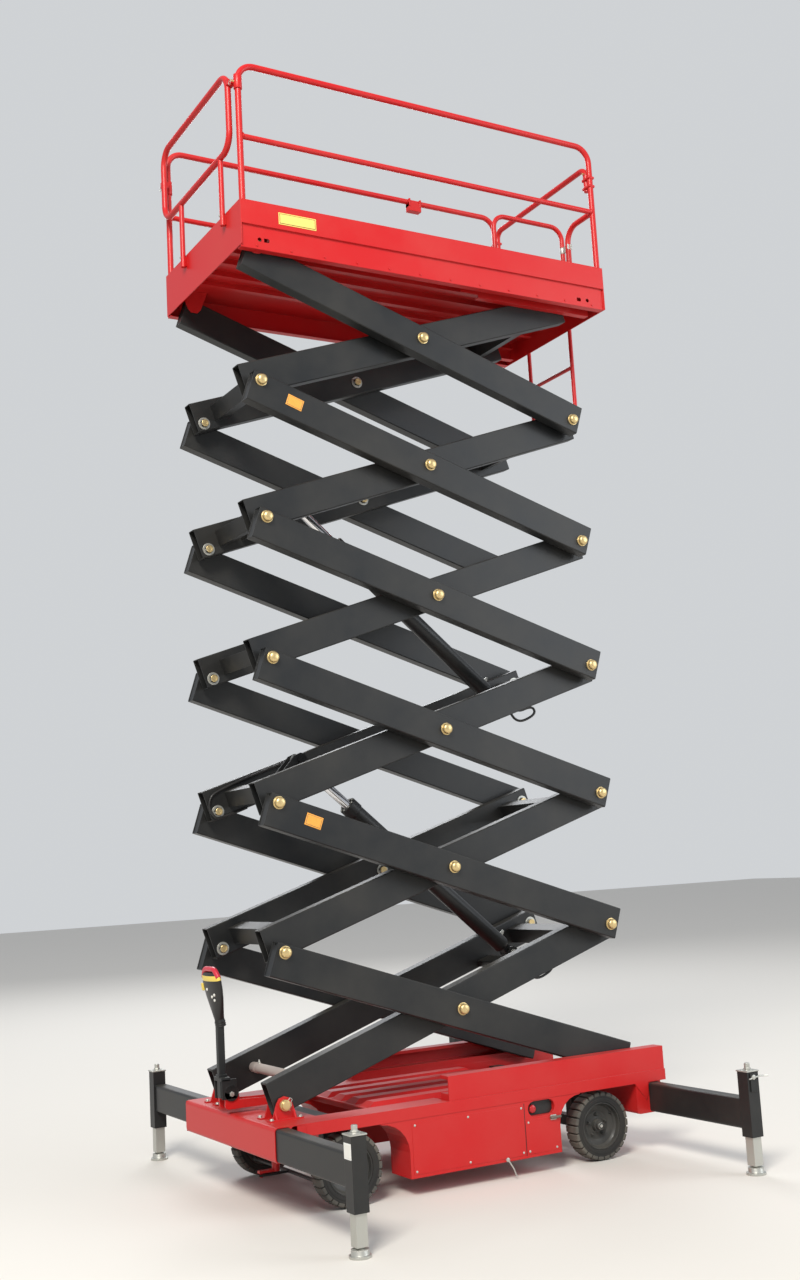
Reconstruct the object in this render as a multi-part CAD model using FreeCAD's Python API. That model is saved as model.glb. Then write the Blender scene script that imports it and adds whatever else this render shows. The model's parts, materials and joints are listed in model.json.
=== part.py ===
import FreeCAD, Part
import math
import os

from FreeCAD import Vector

# Mobile scissor lift on four small wheels and four outriggers, part way up.
# +X points from the towing end to the ladder end, +Y to the far side, +Z up, Z = 0 on the ground.
# All sizes are millimetres. Until export X = 0 is the middle of the scissor.
plan_shift = 18.4           # from there to the middle of the whole outline along X

# Scissor
stages = 6
pin_span = 2340.0           # end pin to end pin of one arm
rest_angle = 20.05          # of the pin line above level
base_pin_z = 549.0
arm_height = 188.0
arm_width = 80.0
arm_wall = 5.0
arm_edge = 5.0              # chamfer along the tube's edges
arm_end = 52.0              # arm tube past its end pins
arm_gap = 27.0              # between an outer arm and the inner arm beside it
outer_arm_y = 528.0         # outer face of the outer arms from the centre plane
near_offset = 49.0          # tube centre line from the pin at a stage's left joint
far_offset = -16.0          # the same at its right joint
pin_radius = 22.5
pin_running = 0.1           # radial clearance of a pin in its bore
open_running = 1.5          # the same where the linkage is opened
pin_head_radius = 29.0
pin_head = 16.0
nut_radius = 27.0
nut_height = 14.0

half_span = 0.5 * pin_span * math.cos(math.radians(rest_angle))
half_rise = 0.5 * pin_span * math.sin(math.radians(rest_angle))
pitch = 2.0 * half_rise
left_x, right_x = -half_span, half_span
top_pin_z = base_pin_z + stages * pitch
inner_arm_y = outer_arm_y - arm_width - arm_gap
outer_arm_in = outer_arm_y - arm_width
inner_arm_in = inner_arm_y - arm_width

# Cross boxes of an inner frame
cross_size = 96.0
cross_first = 78.0          # from the lower end pin to the near side of the first box
cross_last = 90.0           # the same from the upper end pin
round_cross_radius = 27.0
round_cross_at = 330.0

# Lift cylinders, their pivots along and above the pin line of the arms that carry them
cylinder_stages = (1, 3)
base_u, base_v = 734.0, -2.0        # barrel pivot on its stage
eye_u, eye_v = -722.5, 126.0        # rod eye, two stages higher
rod_out = 417.0                     # from the barrel's mouth to the rod eye
barrel_radius = 52.0
gland_radius = 57.0
gland_length = 70.0
barrel_foot = 150.0          # solid foot of the barrel up to its bore
rod_radius = 28.0
rod_running = 0.5
rod_inside = 850.0
eye_radius = 38.0
eye_width = 60.0
eye_setback = 119.0         # clear of the rod when the lift is at its highest
lug_gap = 5.0
lug_plate = 14.0
cylinder_pin_radius = 20.0

# Hoses on the arms that carry the cylinders
hose_radius = 8.0
hose_bend = 28.0
hose_y = 150.0               # of the loops at the barrels' feet

# Platform
deck_x0, deck_x1 = left_x - 120.0, right_x + 282.0
deck_half = outer_arm_y + 74.0
channel_z0 = top_pin_z - 40.4
channel_height = 147.0
toe_height = 141.0
toe_proud = 12.0
sheet = 5.0
flange = 46.0
floor_sheet = 4.0
tread = 3.0                 # raised panel on the floor
stiffener = 34.0
stiffener_ys = (-250.0, -90.0, 90.0, 250.0)
toe_z0 = channel_z0 + channel_height
toe_z1 = toe_z0 + toe_height
floor_z = toe_z0 - 1.0
rail_top_z = floor_z + 1013.0
rail_radius = 19.0
rail_bend = 105.0
mid_rail_z = floor_z + 542.0
loop_z0, loop_z1 = floor_z + 482.0, floor_z + 953.0
loop_inset = 70.0           # end loop's side runs from the deck's edge
loop_post_ys = (-385.0, 250.0)
loop_post_foot = 60.0       # of a short post, over the channel
stub_near_y, stub_far_y = -290.0, 400.0
gate_width, gate_y = 560.0, -225.0
gate_top_z = floor_z + 577.0
gate_radius = 16.0
gate_x = deck_x1 - sheet - rail_radius - 1.0
gate_hinge_zs = (floor_z + 172.0, floor_z + 412.0)
hinge_height = 44.0
ladder_ys = (-182.0, 305.0)
ladder_drop = 552.0         # below the channel
rung_drop = 254.0
ear_plate = 10.0
roller_radius = 38.0
roller_width = 34.0
track_play = 0.5            # above and below a roller
caddy_x, caddy_half = 669.0, 50.0   # saddle on the far top rail
top_track_from, top_track_full = right_x - 759.0, right_x - 629.0

# Chassis
chassis_x0, chassis_x1 = left_x - 151.0, right_x + 247.0
chassis_half = outer_arm_y + 102.0
chassis_top = base_pin_z - 75.0
side_lip = 64.0
side_top_width = 176.0
side_wall = 8.0
track_x0 = -184.0
track_z1 = base_pin_z + 58.0
track_inner_y = outer_arm_y + 8.0
guard_inset = 8.0
beam_width = 84.0
beam_height = 166.0
beam_wall = 6.0
beam_corner = 14.0
beam_running = 1.0
beam_seat = 0.3             # under a beam that lies on its pocket's floor
beam_inner_y = 280.0
pocket_wall = 5.0
pocket_corner = 20.0
pocket_half = 0.5 * beam_width + beam_running + pocket_wall
pocket_pitch = beam_width + 2.0 * beam_running + pocket_wall
front_beam_z0 = chassis_top - pocket_wall - beam_running - beam_height
rear_beam_z0 = chassis_top - side_lip - pocket_wall - beam_running - beam_height
front_near = chassis_x0 + pocket_half
front_far = front_near + pocket_pitch
rear_near = chassis_x1 - 87.0
rear_far = rear_near - pocket_pitch

# Wheels
wheel_radius = 196.0
wheel_width = 104.0
wheel_y = 546.0
wheel_flats = 20
front_wheel_x, rear_wheel_x = chassis_x0 + 450.0, chassis_x1 - 476.0
rim_radius = 134.0
hub_radius = 34.0
stub_radius = 17.0
kingpin_y = 450.0

# Cabinets under the side beams
cabinet_x0, cabinet_x1 = front_wheel_x + 348.0, rear_wheel_x - 321.0
cabinet_z0 = 100.0
cabinet_depth = 220.0
front_arch, rear_arch = 172.0, 152.0
recess_x0, recess_x1 = cabinet_x1 - 218.0, cabinet_x1 - 32.0
recess_z0, recess_z1, recess_depth = 320.0, 404.0, 26.0

# Outriggers
foot_y = 1460.0
leg_outer = 80.0
leg_inner = 60.0
leg_running = 0.3
leg_proud = 10.0            # of the beam's side
leg_z0, leg_z1 = 200.0, 548.0
pad_radius = 54.0

# Steering
shaft_x = chassis_x0 + 282.0
shaft_radius = 22.5
steer_arm = 90.0
tie_z = 116.0
tiller_x, tiller_z = shaft_x - 272.0, chassis_top + 109.0
tiller_angle = 10.0

os.makedirs("parts", exist_ok=True)


def box(x0, x1, y0, y1, z0, z1):
    return Part.makeBox(x1 - x0, y1 - y0, z1 - z0, Vector(x0, y0, z0))


def rod(start, end, radius):
    a, b = Vector(*start), Vector(*end)
    return Part.makeCylinder(radius, (b - a).Length, a, b - a)


def cross_rod(x, z, y0, y1, radius):
    return rod((x, y0, z), (x, y1, z), radius)


def skin(rings, closed=False):
    # A solid with flat faces through equal rings of corners.
    faces = []
    following = rings[1:] + rings[:1] if closed else rings[1:]
    for a, b in zip(rings, following):
        for k in range(len(a)):
            n = (k + 1) % len(a)
            faces.append(Part.Face(Part.makePolygon([a[k], a[n], b[n], b[k], a[k]])))
    if not closed:
        faces += [Part.Face(Part.makePolygon(ring + ring[:1])) for ring in (rings[0], rings[-1])]
    solid = Part.makeSolid(Part.makeShell(faces))
    if solid.Volume < 0:
        solid.reverse()
    return solid


def circle_ring(centre, along, upright, radius, flats):
    # Corners of a regular section around a line
    across = along.cross(upright)
    turns = [2.0 * math.pi * (k + 0.5) / flats for k in range(flats)]
    return [centre + upright * (radius * math.cos(t)) + across * (radius * math.sin(t)) for t in turns]


def prism(start, end, radius, flats=10):
    a, b = Vector(*start), Vector(*end)
    along = (b - a).normalize()
    upright = Vector(1, 0, 0) if abs(along.x) < 0.9 else Vector(0, 1, 0)
    upright = (upright - along * upright.dot(along)).normalize()
    return skin([circle_ring(p, along, upright, radius, flats) for p in (a, b)])


def cross_prism(x, z, y0, y1, radius, flats=10):
    return prism((x, y0, z), (x, y1, z), radius, flats)


def hole_radius(radius, flats=10):
    # Corner radius of a flat-sided hole that a round bar of this radius just fills
    return radius / math.cos(math.pi / flats)


def turned(profile, x, z, side, flats=wheel_flats):
    # A ring around a cross axle, its lowest flat level, from (radius, y) corners.
    rings = []
    for k in range(flats):
        t = 2.0 * math.pi * (k + 0.5) / flats
        rings.append([Vector(x + r * math.sin(t), side * y, z - r * math.cos(t)) for r, y in profile])
    return skin(rings, closed=True)


def rounded_bar(x0, x1, z0, z1, y0, y1, corner, keep_x=None, steps=3):
    # A bar across the machine, its long edges rounded in short steps but for those at keep_x
    outline = []
    for x, z, away in ((x1, z1, 0), (x0, z1, 1), (x0, z0, 2), (x1, z0, 3)):
        if keep_x is not None and abs(x - keep_x) < 1.0:
            outline.append((x, z))
            continue
        centre_x = x - corner if x == x1 else x + corner
        centre_z = z - corner if z == z1 else z + corner
        for k in range(steps + 1):
            t = 0.5 * math.pi * (away + k / steps)
            outline.append((centre_x + corner * math.cos(t), centre_z + corner * math.sin(t)))
    return plate_xz(outline, y0, y1)


def fuse(shapes):
    joined = shapes[0].multiFuse(shapes[1:]) if len(shapes) > 1 else shapes[0]
    return joined.removeSplitter()


def mirrored(shape):
    return shape.mirror(Vector(0, 0, 0), Vector(0, 1, 0))


def export(name, shapes):
    solids = shapes if isinstance(shapes, list) else [shapes]
    parts = []
    for shape in solids:
        parts.extend(shape.Solids)
    whole = parts[0] if len(parts) == 1 else Part.makeCompound(parts)
    whole = whole.copy()
    whole.translate(Vector(-plan_shift, 0, 0))
    whole.exportStep("parts/" + name + ".step")


def plate_xz(points, y0, y1):
    corners = [Vector(x, y0, z) for x, z in points]
    face = Part.Face(Part.makePolygon(corners + corners[:1]))
    return face.extrude(Vector(0, y1 - y0, 0))


def plate_yz(points, x0, x1):
    corners = [Vector(x0, y, z) for y, z in points]
    face = Part.Face(Part.makePolygon(corners + corners[:1]))
    return face.extrude(Vector(x1 - x0, 0, 0))


def bent_bar(points, radius, bend, closed=False, flats=10, steps=4):
    # A rail along straight runs in one plane, with its bends in short straight steps.
    path = [Vector(*p) for p in points]
    if closed:
        corners = list(zip(path[-1:] + path[:-1], path, path[1:] + path[:1]))
    else:
        corners = list(zip(path, path[1:], path[2:]))
    before, corner, after = corners[0]
    flat = (corner - before).cross(after - corner).normalize()
    rings = []
    if not closed:
        rings.append(circle_ring(path[0], (path[1] - path[0]).normalize(), flat, radius, flats))
    for before, corner, after in corners:
        a, b = (corner - before).normalize(), (after - corner).normalize()
        turn = a.getAngle(b)
        sense = 1.0 if a.cross(b).dot(flat) > 0 else -1.0
        first = corner - a * (bend * math.tan(0.5 * turn))
        inward = flat.cross(a) * sense
        centre = first + inward * bend
        for k in range(steps + 1):
            t = turn * k / steps
            along = a * math.cos(t) + inward * math.sin(t)
            place = centre + a * (bend * math.sin(t)) - inward * (bend * math.cos(t))
            rings.append(circle_ring(place, along, flat, radius, flats))
    if not closed:
        rings.append(circle_ring(path[-1], (path[-1] - path[-2]).normalize(), flat, radius, flats))
    return skin(rings, closed)


def stage_place(shape, stage, inner):
    # From the arm's own frame, pin line along X and middle pin at the origin, to its place.
    placed = shape.copy()
    angle = -rest_angle if inner else rest_angle
    placed.rotate(Vector(0, 0, 0), Vector(0, 1, 0), angle)
    placed.translate(Vector(0, 0, base_pin_z + (stage - 0.5) * pitch))
    return placed


def arm_tube(inner):
    # The tube lies less steeply than its pin line, so that the folded arms nest.
    y0 = inner_arm_in if inner else outer_arm_in
    y1 = y0 + arm_width
    length = pin_span + 2.0 * arm_end
    side = 0.5 * arm_height
    edge = arm_edge
    section = [(y0 + edge, -side), (y1 - edge, -side), (y1, edge - side), (y1, side - edge),
               (y1 - edge, side), (y0 + edge, side), (y0, side - edge), (y0, edge - side)]
    outside = plate_yz(section, -length / 2, length / 2)
    reach = length / 2 + 1
    inside = box(-reach, reach, y0 + arm_wall, y1 - arm_wall, arm_wall - side, side - arm_wall)
    tube = outside.cut(inside)
    if not inner:
        # The raised end is closed by a plate set in a little, with a drain notch
        plate = box(4 - length / 2, 10 - length / 2, y0 + 1, y1 - 1, 1 - side, side - 1)
        notch = box(0 - length / 2, 12 - length / 2, y0 + 32, y1 - 32, side - 18, side - arm_wall)
        tube = tube.fuse(plate.common(outside)).cut(notch).removeSplitter()
    lift = 0.5 * (near_offset + far_offset)
    tilt = math.degrees(math.atan2(near_offset - far_offset, pin_span))
    tube.rotate(Vector(0, 0, 0), Vector(0, 1, 0), tilt if inner else -tilt)
    tube.translate(Vector(0, 0, lift if inner else -lift))
    return tube


def tube_line(u):
    # Height of an inner arm's tube centre line over its pin line, u from the middle pin.
    lift = 0.5 * (near_offset + far_offset)
    return lift - u * (near_offset - far_offset) / pin_span


def stage_pin(u, head_y, tip_y, round_shank):
    # The head outside and the shank that leaves the tube's inner wall
    shank = cross_rod if round_shank else cross_prism
    return [shank(u, 0, tip_y, outer_arm_in, pin_radius),
            cross_prism(u, 0, head_y, head_y + pin_head, pin_head_radius)]


def outer_arm(stage, turned_pins):
    # One tube with its welded pins: they reach through the gap into the inner arm's outer wall.
    tip = inner_arm_y - arm_wall - 12.0
    half = 0.5 * pin_span
    pieces = [arm_tube(False)]
    pieces += stage_pin(0.0, outer_arm_y, tip, turned_pins)
    if stage < stages:
        pieces += stage_pin(-half, outer_arm_y, tip, turned_pins)
    if stage > 1:
        pieces += stage_pin(half, outer_arm_y, tip, False)
    else:
        axle_end = track_inner_y + 4.0 + roller_width
        pieces.append(cross_prism(half, 0, outer_arm_in + arm_wall, axle_end + 4.0, 14.0))
        pieces.append(cross_prism(half, 0, axle_end - roller_width, axle_end, roller_radius, 16))
    arm = fuse(pieces)
    if stage == stages:
        bore = hole_radius(pin_radius + pin_running)
        arm = arm.cut(cross_prism(-half, 0, outer_arm_in - 1, outer_arm_y + 1, bore))
    return stage_place(arm, stage, False)


def outer_frame(stage):
    # The far arm's pins have flat sides, the near arm's turn true round each stage's axes
    return [outer_arm(stage, False), mirrored(outer_arm(stage, True))]


def inner_frame(stage):
    half = 0.5 * pin_span
    arm = arm_tube(True)
    held, opened = hole_radius(pin_radius + pin_running), hole_radius(pin_radius + open_running)
    wall_in = inner_arm_y - arm_wall - 1
    bores = [(0.0, wall_in, held)]
    if stage > 1:
        bores.append((-half, wall_in, held))
    else:
        bores.append((-half, inner_arm_in - 1, held))
    if stage < stages:
        bores.append((half, wall_in, opened))
    for u, y0, radius in bores:
        arm = arm.cut(cross_prism(u, 0, y0, inner_arm_y + 1, radius))
    extras = []
    if stage == stages:
        face = inner_arm_y + 4.0
        extras.append(cross_prism(half, 0, inner_arm_y - arm_wall, face + roller_width + 2.0, 14.0))
        extras.append(cross_prism(half, 0, face, face + roller_width, roller_radius, 16))
    nuts = [-half, 0.0, half] if stage > 1 else [0.0, half]
    for u in nuts:
        extras.append(cross_prism(u, 0, inner_arm_in - nut_height, inner_arm_in, nut_radius, 6))
    arm = fuse([arm] + extras)
    pieces = [arm, mirrored(arm)]
    for u0 in (-half + cross_first, half - cross_last - cross_size):
        middle = tube_line(u0 + 0.5 * cross_size)
        low, high = middle - 0.5 * cross_size, middle + 0.5 * cross_size
        pieces.append(box(u0, u0 + cross_size, -inner_arm_in, inner_arm_in, low, high))
    if stage == 1:
        u = -half + round_cross_at
        pieces.append(cross_prism(u, tube_line(u), -inner_arm_in, inner_arm_in, round_cross_radius))
    if stage in cylinder_stages:
        pieces += base_bracket()
    if stage - 2 in cylinder_stages:
        pieces += eye_bracket()
    return stage_place(fuse(pieces), stage, True)


def arm_point(u, v, stage):
    # From an inner arm's own frame to the machine's
    angle = math.radians(rest_angle)
    x = u * math.cos(angle) - v * math.sin(angle)
    z = u * math.sin(angle) + v * math.cos(angle)
    return Vector(x, 0, z + base_pin_z + (stage - 0.5) * pitch)


def base_bracket():
    # Two ears on a cross box carry the barrel's foot.
    u, v = base_u, base_v
    low = tube_line(u) - 0.5 * arm_height + 4.0
    beam_top = v - eye_radius - 14.0
    half = 0.5 * cross_size
    pieces = [box(u - half, u + half, -inner_arm_in, inner_arm_in, low, beam_top)]
    inside = 0.5 * eye_width + lug_gap
    outline = [(u - half, beam_top), (u + half, beam_top), (u + 38, v + 16), (u + 20, v + 38),
               (u - 20, v + 38), (u - 38, v + 16)]
    for y0 in (inside, -inside - lug_plate):
        pieces.append(plate_xz(outline, y0, y0 + lug_plate))
    pieces.append(cross_rod(u, v, -inside - 1, inside + 1, cylinder_pin_radius))
    for s in (-1, 1):
        y0, y1 = sorted((s * inside, s * (inside + lug_plate + 8.0)))
        pieces.append(cross_prism(u, v, y0, y1, cylinder_pin_radius))
    return pieces


def eye_bracket():
    # Two tall plates stand above a cross box and take the rod eye between them.
    u, v = eye_u, eye_v
    low = tube_line(u) - 0.5 * cross_size
    high = low + cross_size - 20.0
    box_u1 = u - eye_setback
    box_u0 = box_u1 - cross_size
    pieces = [box(box_u0, box_u1, -inner_arm_in, inner_arm_in, low, high)]
    inside = 0.5 * eye_width + lug_gap
    outline = [(box_u0, high), (box_u0 + 20, low + 20), (box_u1, low + 20), (u + 44, v - 8), (u + 38, v + 24),
               (u + 14, v + 40), (u - 30, v + 38)]
    for y0 in (inside, -inside - lug_plate):
        pieces.append(plate_xz(outline, y0, y0 + lug_plate))
    for s in (-1, 1):
        y0, y1 = sorted((s * (inside + lug_plate), s * (inside + lug_plate + 12)))
        pieces.append(cross_prism(u, v, y0, y1, cylinder_pin_radius))
    return pieces


def cylinder_line():
    # Barrel pivot and rod eye of the lower cylinder
    return arm_point(base_u, base_v, 1), arm_point(eye_u, eye_v, 3)


def cylinder_place(shape, stage):
    # From a frame with the barrel pivot at the origin and the rod along +X.
    base, eye = cylinder_line()
    placed = shape.copy()
    angle = math.degrees(math.atan2(eye.z - base.z, eye.x - base.x))
    placed.rotate(Vector(0, 0, 0), Vector(0, 1, 0), -angle)
    placed.translate(base + Vector(0, 0, (stage - 1) * pitch))
    return placed


def barrel():
    base, eye = cylinder_line()
    mouth = (eye - base).Length - rod_out
    foot = cross_prism(0, 0, -0.5 * eye_width, 0.5 * eye_width, eye_radius, 16)
    neck = box(0, 70, -0.5 * eye_width, 0.5 * eye_width, -0.7 * eye_radius, 0.7 * eye_radius)
    tube = prism((58, 0, 0), (mouth - gland_length, 0, 0), barrel_radius, 16)
    gland = prism((mouth - gland_length, 0, 0), (mouth, 0, 0), gland_radius, 16)
    body = fuse([foot, neck, tube, gland])
    hollow = prism((barrel_foot, 0, 0), (mouth + 1, 0, 0), rod_radius + rod_running, 16)
    pin = cross_prism(0, 0, -eye_width, eye_width, hole_radius(cylinder_pin_radius + pin_running))
    return body.cut(hollow).cut(pin)


def cylinder_rod():
    base, eye = cylinder_line()
    reach = (eye - base).Length
    shaft = prism((reach - rod_out - rod_inside, 0, 0), (reach - 0.6 * eye_radius, 0, 0), rod_radius, 16)
    end = cross_prism(reach, 0, -0.5 * eye_width, 0.5 * eye_width, eye_radius, 16)
    bore = cross_prism(reach, 0, -eye_width, eye_width, hole_radius(cylinder_pin_radius + 2.0))
    return fuse([shaft, end]).cut(bore)


def hose(points, stage, y, flats=8):
    # A hose in the arms' own frame, its route as (u, v) points
    route = [(u, y, v) for u, v in points]
    return stage_place(bent_bar(route, hose_radius, hose_bend, flats=flats), stage, True)


def foot_hose(stage):
    # Leaves the underside of the cross box that carries the barrel and comes back to it in a long loop
    under = tube_line(base_u) - 0.5 * arm_height + 4.0
    out_u, back_u, far_u = base_u + 36.0, base_u - 10.0, base_u + 170.0
    high, low = under - 36.0, under - 100.0
    route = [(out_u, under), (out_u, high), (far_u, high), (far_u, low), (back_u, low), (back_u, under)]
    return hose(route, stage, -hose_y)


def end_hose(stage, flats=8):
    # Along the inner face of the far arm and round its end pin
    pin_u = -0.5 * pin_span
    start_u = pin_u + 520.0
    top = 0.5 * arm_height - 14.0
    left = pin_u - pin_head_radius - 15.0
    low = -nut_radius - 19.0
    route = [(start_u, tube_line(start_u) + top), (pin_u + 30, tube_line(pin_u) + top), (left, 70.0),
             (left, -12.0), (pin_u - 10, low), (pin_u + 180, low)]
    flat = hose_radius * math.cos(math.pi / flats)
    return hose(route, stage, inner_arm_in - flat - 0.3)


def platform_frame():
    # Side channels under proud toe boards, closed ends, the floor and its stiffeners.
    web_y = deck_half - toe_proud
    under = floor_z - floor_sheet
    side = [box(deck_x0, deck_x1, web_y - sheet, web_y, channel_z0, toe_z0),
            box(deck_x0, deck_x1, web_y - flange, web_y, channel_z0, channel_z0 + sheet),
            box(deck_x0, deck_x1, web_y - sheet, deck_half, toe_z0 - sheet, toe_z0),
            box(deck_x0, deck_x1, deck_half - sheet, deck_half, toe_z0 - sheet, toe_z1)]
    # Ears that hold the top outer arm at the left end
    ear_in, ear_out = outer_arm_in - 6.0 - ear_plate, outer_arm_y + 6.0 + ear_plate
    for y0 in (ear_in, ear_out - ear_plate):
        side.append(plate_xz([(left_x - 90, under), (left_x + 90, under), (left_x + 42, top_pin_z - 20),
                              (left_x + 20, top_pin_z - 42), (left_x - 20, top_pin_z - 42),
                              (left_x - 42, top_pin_z - 20)], y0, y0 + ear_plate))
    # Track of the top roller
    track_y0 = inner_arm_y + 2.0
    track_y1 = inner_arm_y + 4.0 + roller_width + 8.0
    low, high = top_pin_z - roller_radius - track_play, top_pin_z + roller_radius + track_play
    track_end = deck_x1 - 40
    side += [box(top_track_full, track_end, track_y0, track_y1, low - sheet, low),
             box(top_track_from, track_end, track_y0, track_y1, high, high + sheet),
             box(top_track_from, track_end, track_y1 - sheet, track_y1, top_pin_z - 25.0, under),
             box(top_track_full, track_end, track_y1 - sheet, track_y1, low - sheet, under)]
    pieces = list(side) + [mirrored(s) for s in side]
    pieces.append(cross_rod(left_x, top_pin_z, -ear_out, -ear_in, pin_radius))
    pieces.append(cross_prism(left_x, top_pin_z, ear_in, ear_out, pin_radius))
    # The end sheet over the fixed pins stops above the arms that swing under it
    pieces.append(box(deck_x0, deck_x0 + sheet, -deck_half, deck_half, channel_z0 + 16, toe_z1))
    pieces.append(box(deck_x1 - sheet, deck_x1, -deck_half, deck_half, channel_z0, toe_z1))
    pieces.append(box(deck_x0, deck_x1, -web_y, web_y, under, floor_z))
    pieces.append(box(deck_x0 + 50, deck_x1 - 60, -web_y + 50, web_y - 50, floor_z - 1, floor_z + tread))
    for y in stiffener_ys:
        pieces.append(box(deck_x0, deck_x1, y - 20, y + 20, under - stiffener, under))
    frame = fuse(pieces)
    # The gateway is cut out of the end toe board
    gateway_y0, gateway_y1 = stub_near_y + 40.0, stub_far_y - 30.0
    frame = frame.cut(box(deck_x1 - 20, deck_x1 + 1, gateway_y0, gateway_y1, toe_z0, toe_z1 + 1))
    # Hook slots and holes near the ends of the side channels
    for x, z, long in ((deck_x0 + 119, channel_z0 + 60, 0), (deck_x0 + 169, channel_z0 + 60, 22),
                       (deck_x1 - 197, channel_z0 + 45, 22), (deck_x1 - 134, channel_z0 + 48, 0)):
        frame = frame.cut(prism((x, -web_y - 1, z), (x, -web_y + sheet + 1, z), 13.0))
        frame = frame.cut(prism((x, web_y - sheet - 1, z), (x, web_y + 1, z), 13.0))
        if long:
            for y0 in (-web_y - 1, web_y - sheet - 1):
                frame = frame.cut(box(x - long, x, y0, y0 + sheet + 2, z - 12, z + 12))
    return frame


def side_rails():
    # One inverted U with a middle rail on each long side, standing inside the toe boards.
    y = -(deck_half - sheet - rail_radius)
    x0, x1 = deck_x0 + sheet + rail_radius + 1.0, deck_x1 - sheet - rail_radius - 1.0
    top = rail_top_z - rail_radius
    hoop = bent_bar([(x0, y, toe_z0), (x0, y, top), (x1, y, top), (x1, y, toe_z0)], rail_radius, rail_bend)
    middle = prism((x0, y, mid_rail_z), (x1, y, mid_rail_z), rail_radius - 2.0)
    near = fuse([hoop, middle])
    # The far top rail carries a saddle between two pronged plates
    saddle = [box(caddy_x - caddy_half, caddy_x + caddy_half, -y - 26, -y + 26, top - 72, top - 8)]
    for x in (caddy_x - caddy_half, caddy_x + caddy_half - 12.0):
        saddle.append(box(x, x + 12, -y - 30, -y + 30, top - 40, top + 18))
    return [near, fuse([mirrored(near)] + saddle)]


def front_loop():
    # The closed loop that fills the towing end, with two short posts under it.
    x = deck_x0 - rail_radius
    y = deck_half - loop_inset
    corners = [(x, -y, loop_z0), (x, -y, loop_z1), (x, y, loop_z1), (x, y, loop_z0)]
    loop = bent_bar(corners, rail_radius, rail_bend, closed=True)
    feet = []
    for post_y in loop_post_ys:
        foot_z = toe_z0 + loop_post_foot
        feet.append(prism((x, post_y, foot_z), (x, post_y, loop_z0), rail_radius - 3.0))
        feet.append(box(x, deck_x0, post_y - 12, post_y + 12, foot_z + 5, toe_z1 - 15))
    return fuse([loop] + feet)


def rear_rail():
    # Top rail over the gateway and the fixed stubs of the middle rail on both sides of it.
    x = deck_x1 - sheet - rail_radius - 1.0
    y = deck_half - sheet - 3.0 * rail_radius - 1.0
    z = rail_top_z - rail_radius - 120.0
    pieces = [bent_bar([(x, -y, z - 170), (x, -y, z), (x, y, z), (x, y, z - 170)], rail_radius, 60.0)]
    # Clasps that hold the rail's bent ends to the corner posts
    post_y = deck_half - sheet - rail_radius
    for s in (-1, 1):
        for level in (z - 90, z - 150):
            low, high = sorted((s * y, s * (post_y - rail_radius)))
            pieces.append(box(x - 8, x + 8, low, high, level - 9, level + 9))
    top = fuse(pieces)
    stub = [(x, -y, mid_rail_z), (x, stub_near_y, mid_rail_z), (x, stub_near_y, toe_z0)]
    near = bent_bar(stub, rail_radius, rail_bend)
    eyes = []
    for level in gate_hinge_zs:
        low, high = level - hinge_height / 2, level + hinge_height / 2
        eyes.append(prism((gate_x, gate_y, low), (gate_x, gate_y, high), gate_radius))
        eyes.append(box(gate_x - 5, gate_x + 5, stub_near_y, gate_y, low, high))
    near = fuse([near] + eyes)
    near = near.cut(prism((gate_x, gate_y, floor_z), (gate_x, gate_y, rail_top_z), hole_radius(8.1)))
    stub = [(x, y, mid_rail_z), (x, stub_far_y, mid_rail_z), (x, stub_far_y, toe_z0)]
    far = bent_bar(stub, rail_radius, rail_bend)
    ends = []
    for s in (-1, 1):
        low, high = sorted((s * y, s * (post_y - rail_radius)))
        ends.append(box(x - 8, x + 8, low, high, mid_rail_z - 9, mid_rail_z + 9))
    return [top, fuse([near, ends[0]]), fuse([far, ends[1]])]


def gate():
    # Swung open into the platform about its post at the near side of the gateway.
    x0, x1 = gate_x - gate_width, gate_x
    y = gate_y
    z0 = floor_z + 90.0
    hoop = bent_bar([(x0, y, z0), (x0, y, gate_top_z), (x1, y, gate_top_z), (x1, y, z0)], gate_radius, 90.0)
    low = prism((x0, y, z0 + 60), (x1, y, z0 + 60), gate_radius - 2.0)
    body = fuse([hoop, low])
    clear = 0.5 * hinge_height + 1.0
    for z in gate_hinge_zs:
        body = body.cut(box(x1 - 40, x1 + 40, y - 40, y + 40, z - clear, z + clear))
    # The hinge leg is pinned in the eyes of the stub post
    pins = [rod((x1, y, z0 + 10), (x1, y, gate_hinge_zs[-1] + 40), 8.0)]
    return fuse([body] + pins)


def ladder():
    # Two stiles and two rungs hang from the end channel.
    x = deck_x1 + 15.0
    z0 = channel_z0 - ladder_drop
    near_y, far_y = ladder_ys
    pieces = []
    for y in ladder_ys:
        pieces.append(prism((x, y, z0), (x, y, channel_z0 + 100), 15.0))
    for z in (z0 + 20.0, channel_z0 - rung_drop):
        pieces.append(prism((x, near_y, z), (x, far_y, z), 13.0))
    return fuse(pieces)


def pocket_block(x_near, x_far, beam_z0, x0, x1, half_width):
    # A closed cross member with two through pockets for the outrigger beams.
    z0, z1 = beam_z0 - beam_running - pocket_wall, beam_z0 + beam_height + beam_running + pocket_wall
    block = rounded_bar(x0, x1, z0, z1, -half_width, half_width, pocket_corner, keep_x=x1)
    for x in (x_near, x_far):
        half = 0.5 * beam_width + beam_running
        block = block.cut(rounded_bar(x - half, x + half, z0 + pocket_wall, z1 - pocket_wall,
                                      -half_width - 1, half_width + 1, beam_corner + beam_running))
    return block


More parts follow.
